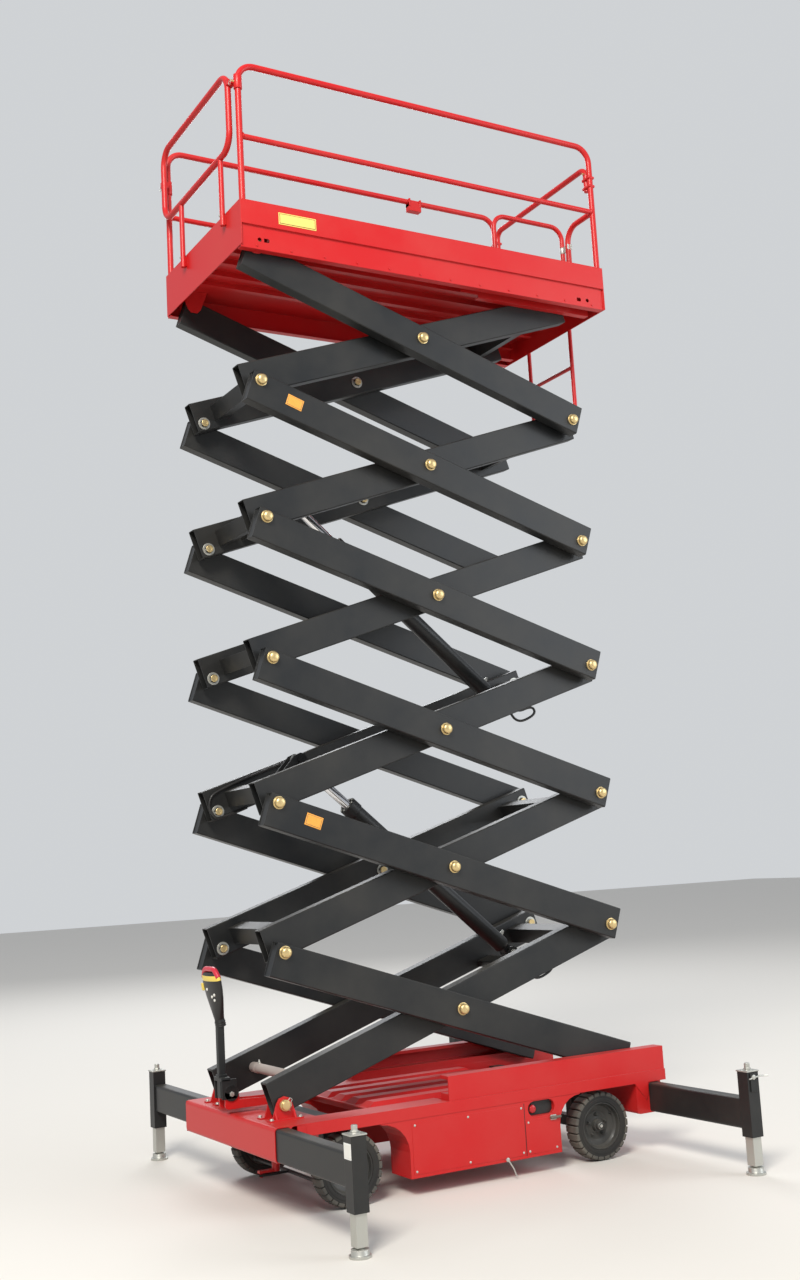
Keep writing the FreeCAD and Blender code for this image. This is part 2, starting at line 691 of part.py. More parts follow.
def chassis_frame():
    block_x1 = front_far + pocket_half
    rear_half = chassis_half - 6.0
    rear_x0, rear_x1 = rear_far - pocket_half, rear_near + pocket_half
    pieces = [pocket_block(front_near, front_far, front_beam_z0, chassis_x0, block_x1, chassis_half),
              pocket_block(rear_near, rear_far, rear_beam_z0, rear_x0, rear_x1, rear_half)]
    top = chassis_top
    lip = top - side_lip
    wall = side_wall
    side = [box(block_x1 - 1, chassis_x1, chassis_half - wall, chassis_half, lip, top),
            box(block_x1 - 1, track_x0, chassis_half - side_top_width, chassis_half, top - wall, top),
            box(track_x0, chassis_x1, track_inner_y - 1, chassis_half, top - wall, top),
            box(block_x1, chassis_x1, track_inner_y - 1, track_inner_y + 7, lip, top)]
    # Track channel with its guard web outside, set in to leave a ledge
    guard = chassis_half - guard_inset
    low, high = base_pin_z - roller_radius - track_play, base_pin_z + roller_radius + track_play
    side += [box(track_x0, chassis_x1, guard - 6, guard, top, track_z1),
             box(track_x0, chassis_x1, track_inner_y, guard - 1, high, track_z1),
             box(track_x0, chassis_x1, track_inner_y, guard - 1, top, low)]
    # Hangers and gussets of the rear pocket block
    rear_top = lip
    side.append(box(rear_x0 + 30, rear_x1 - 30, track_inner_y, chassis_half - wall, rear_top - 1, top - wall))
    # Base ears of the bottom inner arms on their base plates
    ear_in, ear_out = inner_arm_in - 6.0 - ear_plate, inner_arm_y + 6.0 + ear_plate
    for y0, plate_y0, plate_y1, rib_y0, rib_y1 in (
            (ear_in, ear_in - 26, ear_in + ear_plate, ear_in - 22, ear_in),
            (ear_out - ear_plate, ear_out - ear_plate, ear_out + 26, ear_out, ear_out + 22)):
        ear = [(left_x - 74, top), (left_x + 74, top), (left_x + 46, base_pin_z + 10),
               (left_x + 30, base_pin_z + 36), (left_x, base_pin_z + 46), (left_x - 30, base_pin_z + 36),
               (left_x - 46, base_pin_z + 10)]
        side.append(plate_xz(ear, y0, y0 + ear_plate))
        side.append(box(left_x - 100, left_x + 100, plate_y0, plate_y1, top - 1, top + 7))
        for x in (left_x - 60, left_x + 50):
            foot_z = top + 5
            toe_y, back_y = (rib_y0, rib_y1) if y0 == ear_in else (rib_y1, rib_y0)
            side.append(plate_yz([(toe_y, foot_z), (back_y, foot_z), (back_y, foot_z + 42)], x, x + 10))
    side.append(cross_prism(left_x, base_pin_z, ear_out, ear_out + pin_head, pin_head_radius))
    pieces += side + [mirrored(s) for s in side]
    pieces.append(cross_rod(left_x, base_pin_z, -ear_out, -ear_in, pin_radius))
    pieces.append(cross_prism(left_x, base_pin_z, ear_in, ear_out, pin_radius))
    # Cross beams under the cover and the steering bush
    inner = chassis_half - side_top_width + 20.0
    pieces.append(box(block_x1 - 1, shaft_x + 60, -inner, inner, top - 50, top - wall))
    for x, low, high in ((cabinet_x0 - 60, top - 60, top - 20), (cabinet_x1 + 45, top - 60, top - 34)):
        pieces.append(box(x - 30, x + 30, -track_inner_y, track_inner_y, low, high))
        pieces.append(box(x - 30, x + 30, -420, 420, low, top - 20))
    pieces.append(prism((shaft_x, 0, 300), (shaft_x, 0, top - 8), 38.0))
    body = fuse(pieces)
    body = body.cut(prism((shaft_x, 0, 290), (shaft_x, 0, top + 10), hole_radius(shaft_radius + 0.1)))
    # Closing plates over the part of each side's mouths that the other side's beam has no need of
    plates = []
    for s in (-1, 1):
        far_x, near_x = (front_far, front_near) if s < 0 else (front_near, front_far)
        edge = 0.5 * beam_width - 8.0
        outward = 1.0 if far_x > near_x else -1.0
        cover_x = sorted((far_x - 0.1 * outward * beam_width, far_x + outward * (edge + 12)))
        plates.append(box(*cover_x, *sorted((s * (chassis_half - 1), s * (chassis_half - 6))),
                          front_beam_z0 - 2, front_beam_z0 + beam_height + 2))
        other = rear_far if s < 0 else rear_near
        plates.append(box(other - pocket_half + 2, other + pocket_half - 2,
                          *sorted((s * (rear_half - 1), s * (rear_half - 6))),
                          rear_beam_z0 - 2, rear_beam_z0 + beam_height + 2))
        gusset = [(other + s * (pocket_half + 18), lip + 10), (other - s * (pocket_half - 8), lip + 10),
                  (other - s * (pocket_half - 8), lip - 60), (other - s * (pocket_half - 26), lip - 98)]
        plates.append(plate_xz(gusset, *sorted((s * (rear_half - 2), s * chassis_half))))
    return fuse([body] + plates)


def frustum(x0, x1, y0, y1, z0, z1, slope_x, slope_y):
    # A flat-topped ridge with sloped ends and sides
    low = [Vector(x0, y0, z0), Vector(x1, y0, z0), Vector(x1, y1, z0), Vector(x0, y1, z0)]
    high = [Vector(x0 + slope_x, y0 + slope_y, z1), Vector(x1 - slope_x, y0 + slope_y, z1),
            Vector(x1 - slope_x, y1 - slope_y, z1), Vector(x0 + slope_x, y1 - slope_y, z1)]
    return skin([low, high])


def cover():
    # Sheet with pressed ridges between the side beams.
    x0, x1 = front_wheel_x + 215.0, rear_wheel_x - 300.0
    top = chassis_top + 14.0
    pieces = [box(x0, x1, -430, 430, chassis_top - 20, chassis_top - 13)]
    for y in (-344.0, -172.0, 0.0, 172.0, 344.0):
        pieces.append(frustum(x0 + 10, x1 - 20, y - 62, y + 62, chassis_top - 14, top, 46.0, 22.0))
    return fuse(pieces)


def cabinets():
    # Closed boxes between the wheels, their upper corners reaching out over the wheels in arches.
    z1 = chassis_top - side_lip
    outline = [(cabinet_x0, cabinet_z0), (cabinet_x1, cabinet_z0)]
    quarter = [math.radians(15.0 * k) for k in range(7)]
    x, z = cabinet_x1 + rear_arch, z1 - rear_arch
    outline += [(x - rear_arch * math.cos(t), z + (rear_arch - 6.0) * math.sin(t)) for t in quarter]
    outline += [(x, z1), (cabinet_x0 - front_arch, z1)]
    x, z = cabinet_x0 - front_arch, z1 - front_arch
    outline += [(x + front_arch * math.sin(t), z + (front_arch - 6.0) * math.cos(t)) for t in quarter]
    face = -chassis_half + 2
    near = plate_xz(outline, face, face + cabinet_depth)
    # Recess for the lamp, with half-round ends
    corner = 0.5 * (recess_z1 - recess_z0) - 1.0
    recess = rounded_bar(recess_x0, recess_x1, recess_z0, recess_z1, face - 1, face + recess_depth, corner)
    near = near.cut(recess)
    return [near, mirrored(near)]


def axles():
    # A beam axle at each end, hung from the side beams.
    hanger_top = chassis_top - 34.0
    hanger_low = hanger_top - 26.0
    across = track_inner_y - 1.0
    made = []
    for x, reach in ((front_wheel_x, kingpin_y - 10), (rear_wheel_x, 470.0)):
        pieces = [box(x - 30, x + 30, -reach, reach, wheel_radius - 30, wheel_radius + 30),
                  box(x - 40, x + 40, -across, across, hanger_low, hanger_top)]
        for s in (-1, 1):
            pieces.append(box(x - 40, x + 40, s * 330 - 30, s * 330 + 30, wheel_radius + 29, hanger_low + 1))
            if x == front_wheel_x:
                barrel_z0, barrel_z1 = wheel_radius - 40, wheel_radius + 40
                pieces.append(prism((x, s * kingpin_y, barrel_z0), (x, s * kingpin_y, barrel_z1), 26.0))
            else:
                pieces.append(prism((x, s * 470, wheel_radius), (x, s * 590, wheel_radius), stub_radius))
        made.append(fuse(pieces))
    for s in (-1, 1):
        made[0] = made[0].cut(prism((front_wheel_x, s * kingpin_y, 150), (front_wheel_x, s * kingpin_y, 240),
                                    hole_radius(12.1)))
    return made


def knuckle(side):
    # Fork around the axle's end, with its kingpin, stub and steering arm.
    x, y = front_wheel_x, side * kingpin_y
    low, high = wheel_radius - 66.0, wheel_radius + 66.0
    pin = rod if side < 0 else prism
    y_in, y_out = sorted((y + side * 29, y + side * 40))
    fork_in, fork_out = sorted((y - side * 24, y + side * 40))
    pieces = [rod((x, y, low + 20), (x, y, high - 20), 12.0),
              prism((x, y, low - 10), (x, y, low + 21), 12.0),
              prism((x, y, high - 21), (x, y, high + 10), 12.0),
              box(x - 24, x + 24, fork_in, fork_out, high - 22, high),
              box(x - 24, x + 24, fork_in, fork_out, low, low + 22),
              box(x - 24, x + 24, y_in, y_out, low, high),
              prism((x, y + side * 35, wheel_radius), (x, side * 590, wheel_radius), stub_radius),
              box(x - steer_arm - 16, x, y - 14, y + 14, low, low + 12),
              pin((x - steer_arm, y, tie_z - 12), (x - steer_arm, y, low + 6), 8.0)]
    return fuse(pieces)


def tie_rod():
    # The track rod with the tongue that the steering shaft's arm moves
    x = front_wheel_x - steer_arm
    ends = ((x, -kingpin_y), (x, kingpin_y), (shaft_x - steer_arm, 0.0))
    bar = [prism((x, -kingpin_y, tie_z), (x, kingpin_y, tie_z), 11.0)]
    for s in (-1, 1):
        bar.append(prism((x, s * kingpin_y, tie_z - 8), (x, s * kingpin_y, tie_z + 8), 18.0))
    bar.append(box(shaft_x - steer_arm - 20, x, -16, 16, tie_z - 6, tie_z + 6))
    link = fuse(bar)
    for px, py in ends:
        link = link.cut(prism((px, py, tie_z - 26), (px, py, tie_z + 24), hole_radius(8.6)))
    return link


def drawbar():
    # Steering shaft with its lower arm, and the fork that reaches over the front member to the tiller.
    low, high = chassis_top + 26.0, chassis_top + 64.0
    pieces = [rod((shaft_x, 0, 128), (shaft_x, 0, high), shaft_radius),
              box(shaft_x - steer_arm - 16, shaft_x, -16, 16, 128, 142),
              prism((shaft_x - steer_arm, 0, tie_z - 12), (shaft_x - steer_arm, 0, 135), 8.0),
              prism((shaft_x, 0, low), (shaft_x, 0, high), 34.0)]
    for s in (-1, 1):
        y0, y1 = s * 40 - 6, s * 40 + 6
        pieces.append(plate_xz([(shaft_x + 10, low), (shaft_x + 10, high), (tiller_x + 50, high + 10),
                                (tiller_x + 36, tiller_z + 14), (tiller_x + 14, tiller_z + 36),
                                (tiller_x - 14, tiller_z + 36), (tiller_x - 36, tiller_z + 14),
                                (tiller_x - 36, low + 10), (tiller_x - 20, low)], y0, y1))
    pieces.append(box(shaft_x - 44, shaft_x - 8, -46, 46, low, high))
    pieces.append(box(tiller_x + 56, tiller_x + 70, -46, 46, low, high))
    pieces.append(cross_rod(tiller_x, tiller_z, -52, 52, 11.0))
    return fuse(pieces)


def tiller_lean(shape):
    placed = shape.copy()
    placed.rotate(Vector(tiller_x, 0, tiller_z), Vector(0, 1, 0), -tiller_angle)
    return placed


def tiller_pole():
    # Clevis block at the foot and a flat pole
    pole = box(tiller_x - 17, tiller_x + 17, -19, 19, tiller_z + 60, tiller_z + 440)
    block = box(tiller_x - 22, tiller_x + 22, -26, 26, tiller_z - 5, tiller_z + 84)
    foot = cross_prism(tiller_x, tiller_z, -26, 26, 26.0)
    body = fuse([pole, foot, block])
    return tiller_lean(body.cut(cross_prism(tiller_x, tiller_z, -30, 30, hole_radius(11.1))))


def tiller_head():
    # Body that widens upward from the pole, closed by the grip loop.
    x, z = tiller_x, tiller_z + 400
    # Height above its foot, half thickness and half width
    levels = ((0, 26, 26), (90, 30, 46), (190, 30, 82), (232, 24, 88))
    rings = []
    for up, a, b in levels:
        rings.append([Vector(x + i * a, j * b, z + up) for i, j in ((-1, -1), (1, -1), (1, 1), (-1, 1))])
    housing = skin(rings)
    housing = housing.cut(box(x - 17.2, x + 17.2, -19.2, 19.2, z - 1, z + 40.2))
    bow = [(x, -74, z + 215), (x, -74, z + 290), (x, 74, z + 290), (x, 74, z + 215)]
    grip = bent_bar(bow, 14.0, 40.0, flats=8)
    return tiller_lean(fuse([housing, grip]))


def tyre(x, side):
    y0 = wheel_y - 0.5 * wheel_width
    y1 = wheel_y + 0.5 * wheel_width
    outer = wheel_radius / math.cos(math.pi / wheel_flats)
    profile = [(rim_radius, y0 + 8), (outer - 14, y0), (outer, y0 + 14), (outer, y1 - 14), (outer - 14, y1),
               (rim_radius, y1 - 8)]
    return turned(profile, x, wheel_radius, side)


def rim(x, side):
    # Deep-dished outside, with a round hub on its stub
    y0 = wheel_y - 0.5 * wheel_width + 8.0
    y1 = wheel_y + 0.5 * wheel_width - 8.0
    disc = wheel_y - 14.0
    profile = [(rim_radius, y0), (rim_radius, y1), (rim_radius - 12, y1), (rim_radius - 22, disc + 20),
               (rim_radius - 48, disc + 8), (hub_radius - 4, disc + 8), (hub_radius - 4, disc),
               (rim_radius - 30, disc), (rim_radius - 12, y0)]
    ring = turned(profile, x, wheel_radius, side)
    hub = cross_prism(x, wheel_radius, side * (disc - 30), side * (disc + 38), hub_radius)
    cap = cross_prism(x, wheel_radius, side * (disc + 37), side * (disc + 52), hub_radius - 8)
    bore = cross_rod(x, wheel_radius, side * (disc - 31), side * (disc + 60), stub_radius + 0.2)
    return fuse([ring, hub, cap]).cut(bore)


def outrigger_beam(x, side, beam_z0):
    half = 0.5 * beam_width
    beam_z0 -= beam_running - beam_seat
    beam_z1 = beam_z0 + beam_height
    inner_y, outer_y = beam_inner_y, foot_y - 0.5 * leg_outer
    tube = rounded_bar(x - half, x + half, beam_z0, beam_z1, inner_y, outer_y, beam_corner)
    tube = tube.cut(box(x - half + beam_wall, x + half - beam_wall, inner_y - 1, outer_y - 1,
                        beam_z0 + beam_wall, beam_z1 - beam_wall))
    leg_half = 0.5 * leg_outer
    leg_x = leg_centre(x)
    post = box(leg_x - leg_half, leg_x + leg_half, foot_y - leg_half, foot_y + leg_half, leg_z0, leg_z1)
    cap = box(leg_x - leg_half - 4, leg_x + leg_half + 4, foot_y - leg_half - 4, foot_y + leg_half + 4,
              leg_z1, leg_z1 + 7)
    screw = prism((leg_x, foot_y, leg_z1 + 6), (leg_x, foot_y, leg_z1 + 42), 15.0)
    body = fuse([tube, post, cap, screw])
    hollow = 0.5 * leg_inner + leg_running
    body = body.cut(box(leg_x - hollow, leg_x + hollow, foot_y - hollow, foot_y + hollow,
                        leg_z0 - 1, leg_z1 - 1))
    return body if side > 0 else mirrored(body)


def leg_centre(beam_x):
    # A leg stands a little proud of its beam's towing side
    return beam_x - 0.5 * beam_width - leg_proud + 0.5 * leg_outer


def outrigger_leg(beam_x, side):
    half = 0.5 * leg_inner
    x = leg_centre(beam_x)
    pieces = [box(x - half, x + half, foot_y - half, foot_y + half, 48, 350),
              prism((x, foot_y, 38), (x, foot_y, 50), 18.0),
              prism((x, foot_y, 11), (x, foot_y, 39), 42.0, 16),
              prism((x, foot_y, 0), (x, foot_y, 12), pad_radius, 24)]
    body = fuse(pieces)
    return body if side > 0 else mirrored(body)


for stage in range(1, stages + 1):
    export("inner_arms_%d" % stage, inner_frame(stage))
    export("outer_arms_%d" % stage, outer_frame(stage))

for stage, level in zip(cylinder_stages, ("lower", "upper")):
    export("barrel_" + level, cylinder_place(barrel(), stage))
    export("rod_" + level, cylinder_place(cylinder_rod(), stage))
export("hose_lower", foot_hose(cylinder_stages[0]))
export("hose_upper", [foot_hose(cylinder_stages[1]), end_hose(cylinder_stages[1])])

export("platform_frame", platform_frame())
export("side_rails", side_rails())
export("front_loop", front_loop())
export("rear_rail", rear_rail())
export("gate", gate())
export("ladder", ladder())

export("chassis_frame", chassis_frame())
export("deck_cover", cover())
export("cabinets", cabinets())
export("axles", axles())
export("tie_rod", tie_rod())
export("drawbar", drawbar())
export("tiller_pole", tiller_pole())
export("tiller_head", tiller_head())

for label, side in (("near", -1), ("far", 1)):
    export("knuckle_" + label, knuckle(side))
    for end, x in (("front", front_wheel_x), ("rear", rear_wheel_x)):
        export("tyre_%s_%s" % (end, label), tyre(x, side))
        export("rim_%s_%s" % (end, label), rim(x, side))

outriggers = (
    # end, label, x, side, beam bottom
    ("front", "near", front_near, -1, front_beam_z0),
    ("front", "far", front_far, 1, front_beam_z0),
    ("rear", "near", rear_near, -1, rear_beam_z0),
    ("rear", "far", rear_far, 1, rear_beam_z0),
)
for end, label, x, side, beam_z0 in outriggers:
    export("beam_%s_%s" % (end, label), outrigger_beam(x, side, beam_z0))
    export("leg_%s_%s" % (end, label), outrigger_leg(x, side))
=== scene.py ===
import json
import math

import bpy
from mathutils import Matrix, Vector


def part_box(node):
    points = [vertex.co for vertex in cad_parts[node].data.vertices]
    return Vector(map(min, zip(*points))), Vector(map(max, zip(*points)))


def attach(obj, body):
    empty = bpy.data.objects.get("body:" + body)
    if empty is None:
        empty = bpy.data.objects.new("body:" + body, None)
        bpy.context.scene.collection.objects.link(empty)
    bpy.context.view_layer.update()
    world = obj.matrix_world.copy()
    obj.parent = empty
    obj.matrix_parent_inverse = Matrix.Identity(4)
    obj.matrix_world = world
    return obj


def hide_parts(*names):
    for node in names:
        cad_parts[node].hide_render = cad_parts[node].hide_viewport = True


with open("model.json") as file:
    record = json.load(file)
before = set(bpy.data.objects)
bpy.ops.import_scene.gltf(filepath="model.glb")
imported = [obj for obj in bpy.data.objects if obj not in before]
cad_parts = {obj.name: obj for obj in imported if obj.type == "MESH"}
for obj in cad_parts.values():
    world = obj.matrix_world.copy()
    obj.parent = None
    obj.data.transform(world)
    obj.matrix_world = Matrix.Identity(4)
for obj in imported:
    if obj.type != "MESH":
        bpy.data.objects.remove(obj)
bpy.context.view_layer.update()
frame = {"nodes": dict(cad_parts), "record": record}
scene = bpy.context.scene

# Sizes shared by the pieces, in metres. The scissor's middle lies a little off the outline's
stages = 6
shift = 0.0184
half_arm = 1.170
arm_slope = math.radians(20.05)
arm_low, arm_rise = 0.549, 0.802245
arm_top = arm_low + stages * arm_rise
left_pin = -1.09909 - shift
outer_face, inner_face, inner_back = 0.528, 0.421, 0.341
barrel_u, barrel_v = 0.734, -0.002
channel_z, toe_z = 5.32207, 5.46907
floor_z = toe_z - 0.001
deck_left, deck_right, deck_half = -1.21909 - shift, 1.38109 - shift, 0.602
rail_y = deck_half - 0.024
top_rail_z, mid_rail_z = floor_z + 0.994, floor_z + 0.542
post_left, post_right = deck_left + 0.025, deck_right - 0.025
chassis_top, chassis_half = 0.474, 0.630
chassis_left, chassis_right = -1.25009 - shift, 1.34609 - shift
front_wheel_x, rear_wheel_x = -0.80009 - shift, 0.87009 - shift
wheel_y, wheel_z = 0.546, 0.196
leg_y = 1.460
tiller_x, tiller_z = -1.24009 - shift, 0.583
tiller_lean = math.radians(10)
along_x, along_y, along_z = (1, 0, 0), (0, 1, 0), (0, 0, 1)
mirror_y = Matrix.Scale(-1, 4, Vector(along_y))

# Each finish: base colour, roughness, metallic, coat, grain scale, grain strength, dust, dust on top
finishes = {
    "red_paint": ((0.50, 0.006, 0.007), 0.38, 0.0, 0.06, 60.0, 0.05, 0.10, 0.10),
    "black_paint": ((0.0085, 0.0095, 0.0105), 0.42, 0.0, 0.04, 60.0, 0.06, 0.10, 0.16),
    "zinc": ((0.50, 0.50, 0.46), 0.40, 0.75, 0.0, 90.0, 0.10, 0.16, 0.10),
    "gold_zinc": ((0.66, 0.50, 0.24), 0.34, 0.80, 0.0, 120.0, 0.06, 0.10, 0.05),
    "chrome": ((0.72, 0.72, 0.74), 0.12, 1.0, 0.0, 90.0, 0.02, 0.02, 0.02),
    "rubber": ((0.0125, 0.0125, 0.0125), 0.70, 0.0, 0.0, 140.0, 0.14, 0.14, 0.10),
    "worn_rubber": ((0.055, 0.053, 0.049), 0.85, 0.0, 0.0, 160.0, 0.25, 0.60, 0.20),
    "rim_paint": ((0.026, 0.027, 0.027), 0.45, 0.0, 0.06, 60.0, 0.06, 0.24, 0.20),
    "black_plastic": ((0.013, 0.013, 0.014), 0.34, 0.0, 0.0, 150.0, 0.08, 0.08, 0.10),
    "dusty_steel": ((0.40, 0.34, 0.31), 0.62, 0.15, 0.0, 90.0, 0.12, 0.30, 0.20),
    "red_plastic": ((0.55, 0.020, 0.045), 0.30, 0.0, 0.20, 120.0, 0.04, 0.05, 0.05),
    "yellow_plastic": ((0.78, 0.58, 0.10), 0.32, 0.0, 0.15, 120.0, 0.04, 0.08, 0.05),
    "pale_plastic": ((0.72, 0.71, 0.66), 0.38, 0.0, 0.05, 120.0, 0.05, 0.12, 0.05),
    "brown_plastic": ((0.12, 0.095, 0.075), 0.45, 0.0, 0.05, 120.0, 0.06, 0.15, 0.10),
    "orange_plate": ((0.80, 0.36, 0.06), 0.35, 0.0, 0.10, 160.0, 0.02, 0.08, 0.05),
    "yellow_plate": ((0.82, 0.62, 0.16), 0.35, 0.0, 0.10, 160.0, 0.02, 0.10, 0.05),
    "white_plate": ((0.78, 0.78, 0.75), 0.38, 0.0, 0.10, 160.0, 0.02, 0.12, 0.05),
    "lens": ((0.42, 0.012, 0.016), 0.22, 0.0, 0.20, 260.0, 0.10, 0.04, 0.02),
}
earth = (0.42, 0.37, 0.29)


def add_node(tree, kind, values, links):
    made = tree.nodes.new("ShaderNode" + kind)
    for key, value in values.items():
        made.inputs[key].default_value = value
    for key, source in links.items():
        tree.links.new(source, made.inputs[key])
    return made


def make_finish(name, colour, rough, metal, coat, grain, strength, dust, top_dust):
    made = bpy.data.materials.new(name)
    made.use_nodes = True
    tree = made.node_tree
    where = add_node(tree, "TexCoord", {}, {}).outputs["Object"]
    # Slow drift of tone, and fine dust that lightens it
    drift = add_node(tree, "TexNoise", {"Scale": 2.3, "Detail": 7.0, "Roughness": 0.62}, {"Vector": where})
    drift = drift.outputs["Fac"]
    ramp = add_node(tree, "ValToRGB", {}, {"Fac": drift})
    pale = [c + dust * 0.4 * (e - c) for c, e in zip(colour, earth)]
    for element, position, tone in zip(ramp.color_ramp.elements, (0.36, 0.72), (colour, pale)):
        element.position = position
        element.color = (*tone, 1.0)
    # Dust settled on faces that look up
    normal = add_node(tree, "NewGeometry", {}, {}).outputs["Normal"]
    height = add_node(tree, "SeparateXYZ", {}, {"Vector": normal}).outputs["Z"]
    upward = add_node(tree, "MapRange", {"From Min": 0.55, "From Max": 1.0, "To Max": top_dust},
                      {"Value": height})
    patchy = add_node(tree, "Math", {}, {0: upward.outputs["Result"], 1: drift})
    patchy.operation = "MULTIPLY"
    settled = add_node(tree, "MixRGB", {"Color2": (*earth, 1.0)},
                       {"Fac": patchy.outputs["Value"], "Color1": ramp.outputs["Color"]})
    # Uneven gloss
    gloss = add_node(tree, "MapRange", {"To Min": max(0.04, rough - 0.07), "To Max": rough + 0.12},
                     {"Value": drift})
    # Fine surface grain over softened edges
    fine = add_node(tree, "TexNoise", {"Scale": grain, "Detail": 3.0}, {"Vector": where})
    soft = add_node(tree, "Bevel", {"Radius": 0.0035}, {})
    soft.samples = 4
    bump = add_node(tree, "Bump", {"Strength": strength, "Distance": 0.002},
                    {"Height": fine.outputs["Fac"], "Normal": soft.outputs["Normal"]})
    shader = tree.nodes["Principled BSDF"]
    shader.inputs["Metallic"].default_value = metal
    shader.inputs["Specular IOR Level"].default_value = 0.36
    shader.inputs["Coat Weight"].default_value = coat
    shader.inputs["Coat Roughness"].default_value = 0.12
    tree.links.new(settled.outputs["Color"], shader.inputs["Base Color"])
    tree.links.new(gloss.outputs["Result"], shader.inputs["Roughness"])
    tree.links.new(bump.outputs["Normal"], shader.inputs["Normal"])
    return made


paints = {name: make_finish(name, *values) for name, values in finishes.items()}
slot_of = {entry["node"]: entry["material_slot"] for entry in frame["record"]["subparts"]}
for name, node in frame["nodes"].items():
    node.data.materials.clear()
    node.data.materials.append(paints[slot_of[name]])


def alone(obj):
    bpy.ops.object.select_all(action="DESELECT")
    obj.select_set(True)
    bpy.context.view_layer.objects.active = obj


def settle(obj, angle=35):
    alone(obj)
    bpy.ops.object.transform_apply(location=True, rotation=True, scale=True)
    bpy.ops.object.shade_smooth_by_angle(angle=math.radians(angle))
    return obj


def painted(obj, finish):
    obj.data.materials.clear()
    obj.data.materials.append(paints[finish])
    return obj


def slab(name, low, high, edge=0.002, steps=2, finish="black_paint"):
    # A block between two corners, its edges rounded
    bpy.ops.object.select_all(action="DESELECT")
    bpy.ops.mesh.primitive_cube_add(size=1.0, location=[0.5 * (a + b) for a, b in zip(low, high)])
    obj = bpy.context.object
    obj.name = name
    obj.scale = [b - a for a, b in zip(low, high)]
    settle(obj)
    rounding = obj.modifiers.new("edge", "BEVEL")
    rounding.width = edge
    rounding.segments = steps
    rounding.limit_method = "ANGLE"
    rounding.angle_limit = math.radians(30)
    bpy.ops.object.modifier_apply(modifier="edge")
    return painted(settle(obj), finish)


def close_mesh(ring):
    # The last and first step of a ring meet, and anything else gets its ends filled
    bpy.ops.mesh.select_all(action="SELECT")
    if ring:
        bpy.ops.mesh.remove_doubles(threshold=0.00002)
    else:
        bpy.ops.mesh.fill_holes(sides=0)
    bpy.ops.mesh.select_all(action="SELECT")
    bpy.ops.mesh.normals_make_consistent(inside=False)
    bpy.ops.object.mode_set(mode="OBJECT")


def turned(name, profile, base=(0, 0, 0), along=along_z, sides=32, finish="zinc"):
    # A turned form from (radius, height) steps, a ring where the last step is the first
    bpy.ops.object.select_all(action="DESELECT")
    bpy.ops.mesh.primitive_circle_add(vertices=sides, radius=profile[0][0])
    obj = bpy.context.object
    obj.name = name
    start = profile[0][1]
    bpy.ops.object.mode_set(mode="EDIT")
    bpy.ops.mesh.select_all(action="SELECT")
    for (r0, h0), (r1, h1) in zip(profile, profile[1:]):
        bpy.ops.mesh.extrude_region_move(TRANSFORM_OT_translate={"value": (0, 0, h1 - h0)})
        bpy.ops.transform.resize(value=(r1 / r0, r1 / r0, 1.0), center_override=(0, 0, h1 - start))
    close_mesh(profile[0] == profile[-1])
    axis = Vector(along).normalized()
    turn = Vector(along_z).rotation_difference(axis)
    obj.matrix_world = Matrix.Translation(Vector(base) + axis * start) @ turn.to_matrix().to_4x4()
    return painted(settle(obj), finish)


def lofted(name, sections, finish):
    # An upright form through ovals of (height, half depth, half width)
    height, depth, width = sections[0]
    bpy.ops.object.select_all(action="DESELECT")
    bpy.ops.mesh.primitive_circle_add(vertices=40, radius=1.0)
    obj = bpy.context.object
    obj.name = name
    obj.scale = (depth, width, 1.0)
    obj.location = (0, 0, height)
    settle(obj)
    bpy.ops.object.mode_set(mode="EDIT")
    bpy.ops.mesh.select_all(action="SELECT")
    for (h0, d0, w0), (h1, d1, w1) in zip(sections, sections[1:]):
        bpy.ops.mesh.extrude_region_move(TRANSFORM_OT_translate={"value": (0, 0, h1 - h0)})
        bpy.ops.transform.resize(value=(d1 / d0, w1 / w0, 1.0), center_override=(0, 0, h1))
    close_mesh(False)
    return painted(settle(obj, 40), finish)


def bent_tube(name, points, radius, bend=0.02, sides=16, closed=False, steps=5, finish="red_paint"):
    # A tube along straight runs, its bends spun about their centres
    path = [Vector(p) for p in points]
    if closed:
        middle = 0.5 * (path[0] + path[-1])
        path = [middle] + path + [middle]
    turn = Vector(along_z).rotation_difference((path[1] - path[0]).normalized())
    bpy.ops.object.select_all(action="DESELECT")
    bpy.ops.mesh.primitive_circle_add(vertices=sides, radius=radius, location=path[0], rotation=turn.to_euler())
    obj = bpy.context.object
    obj.name = name
    bpy.ops.object.transform_apply(location=True, rotation=True, scale=True)
    bpy.ops.object.mode_set(mode="EDIT")
    bpy.ops.mesh.select_all(action="SELECT")
    here = path[0]
    for before, corner, after in zip(path, path[1:], path[2:]):
        a, b = (corner - before).normalized(), (after - corner).normalized()
        angle = a.angle(b)
        reach = bend * math.tan(0.5 * angle)
        bpy.ops.mesh.extrude_region_move(TRANSFORM_OT_translate={"value": corner - a * reach - here})
        axis = a.cross(b).normalized()
        centre = corner - a * reach + axis.cross(a) * bend
        bpy.ops.mesh.spin(steps=steps, angle=-angle, center=centre, axis=axis)
        here = corner + b * reach
    bpy.ops.mesh.extrude_region_move(TRANSFORM_OT_translate={"value": path[-1] - here})
    close_mesh(closed)
    return painted(settle(obj), finish)


def copied(obj, matrix):
    twin = obj.copy()
    twin.data = obj.data.copy()
    scene.collection.objects.link(twin)
    twin.data.transform(matrix)
    if matrix.determinant() < 0:
        twin.data.flip_normals()
    return twin


def both_sides(obj, place):
    return [copied(obj, place), copied(obj, mirror_y @ place)]


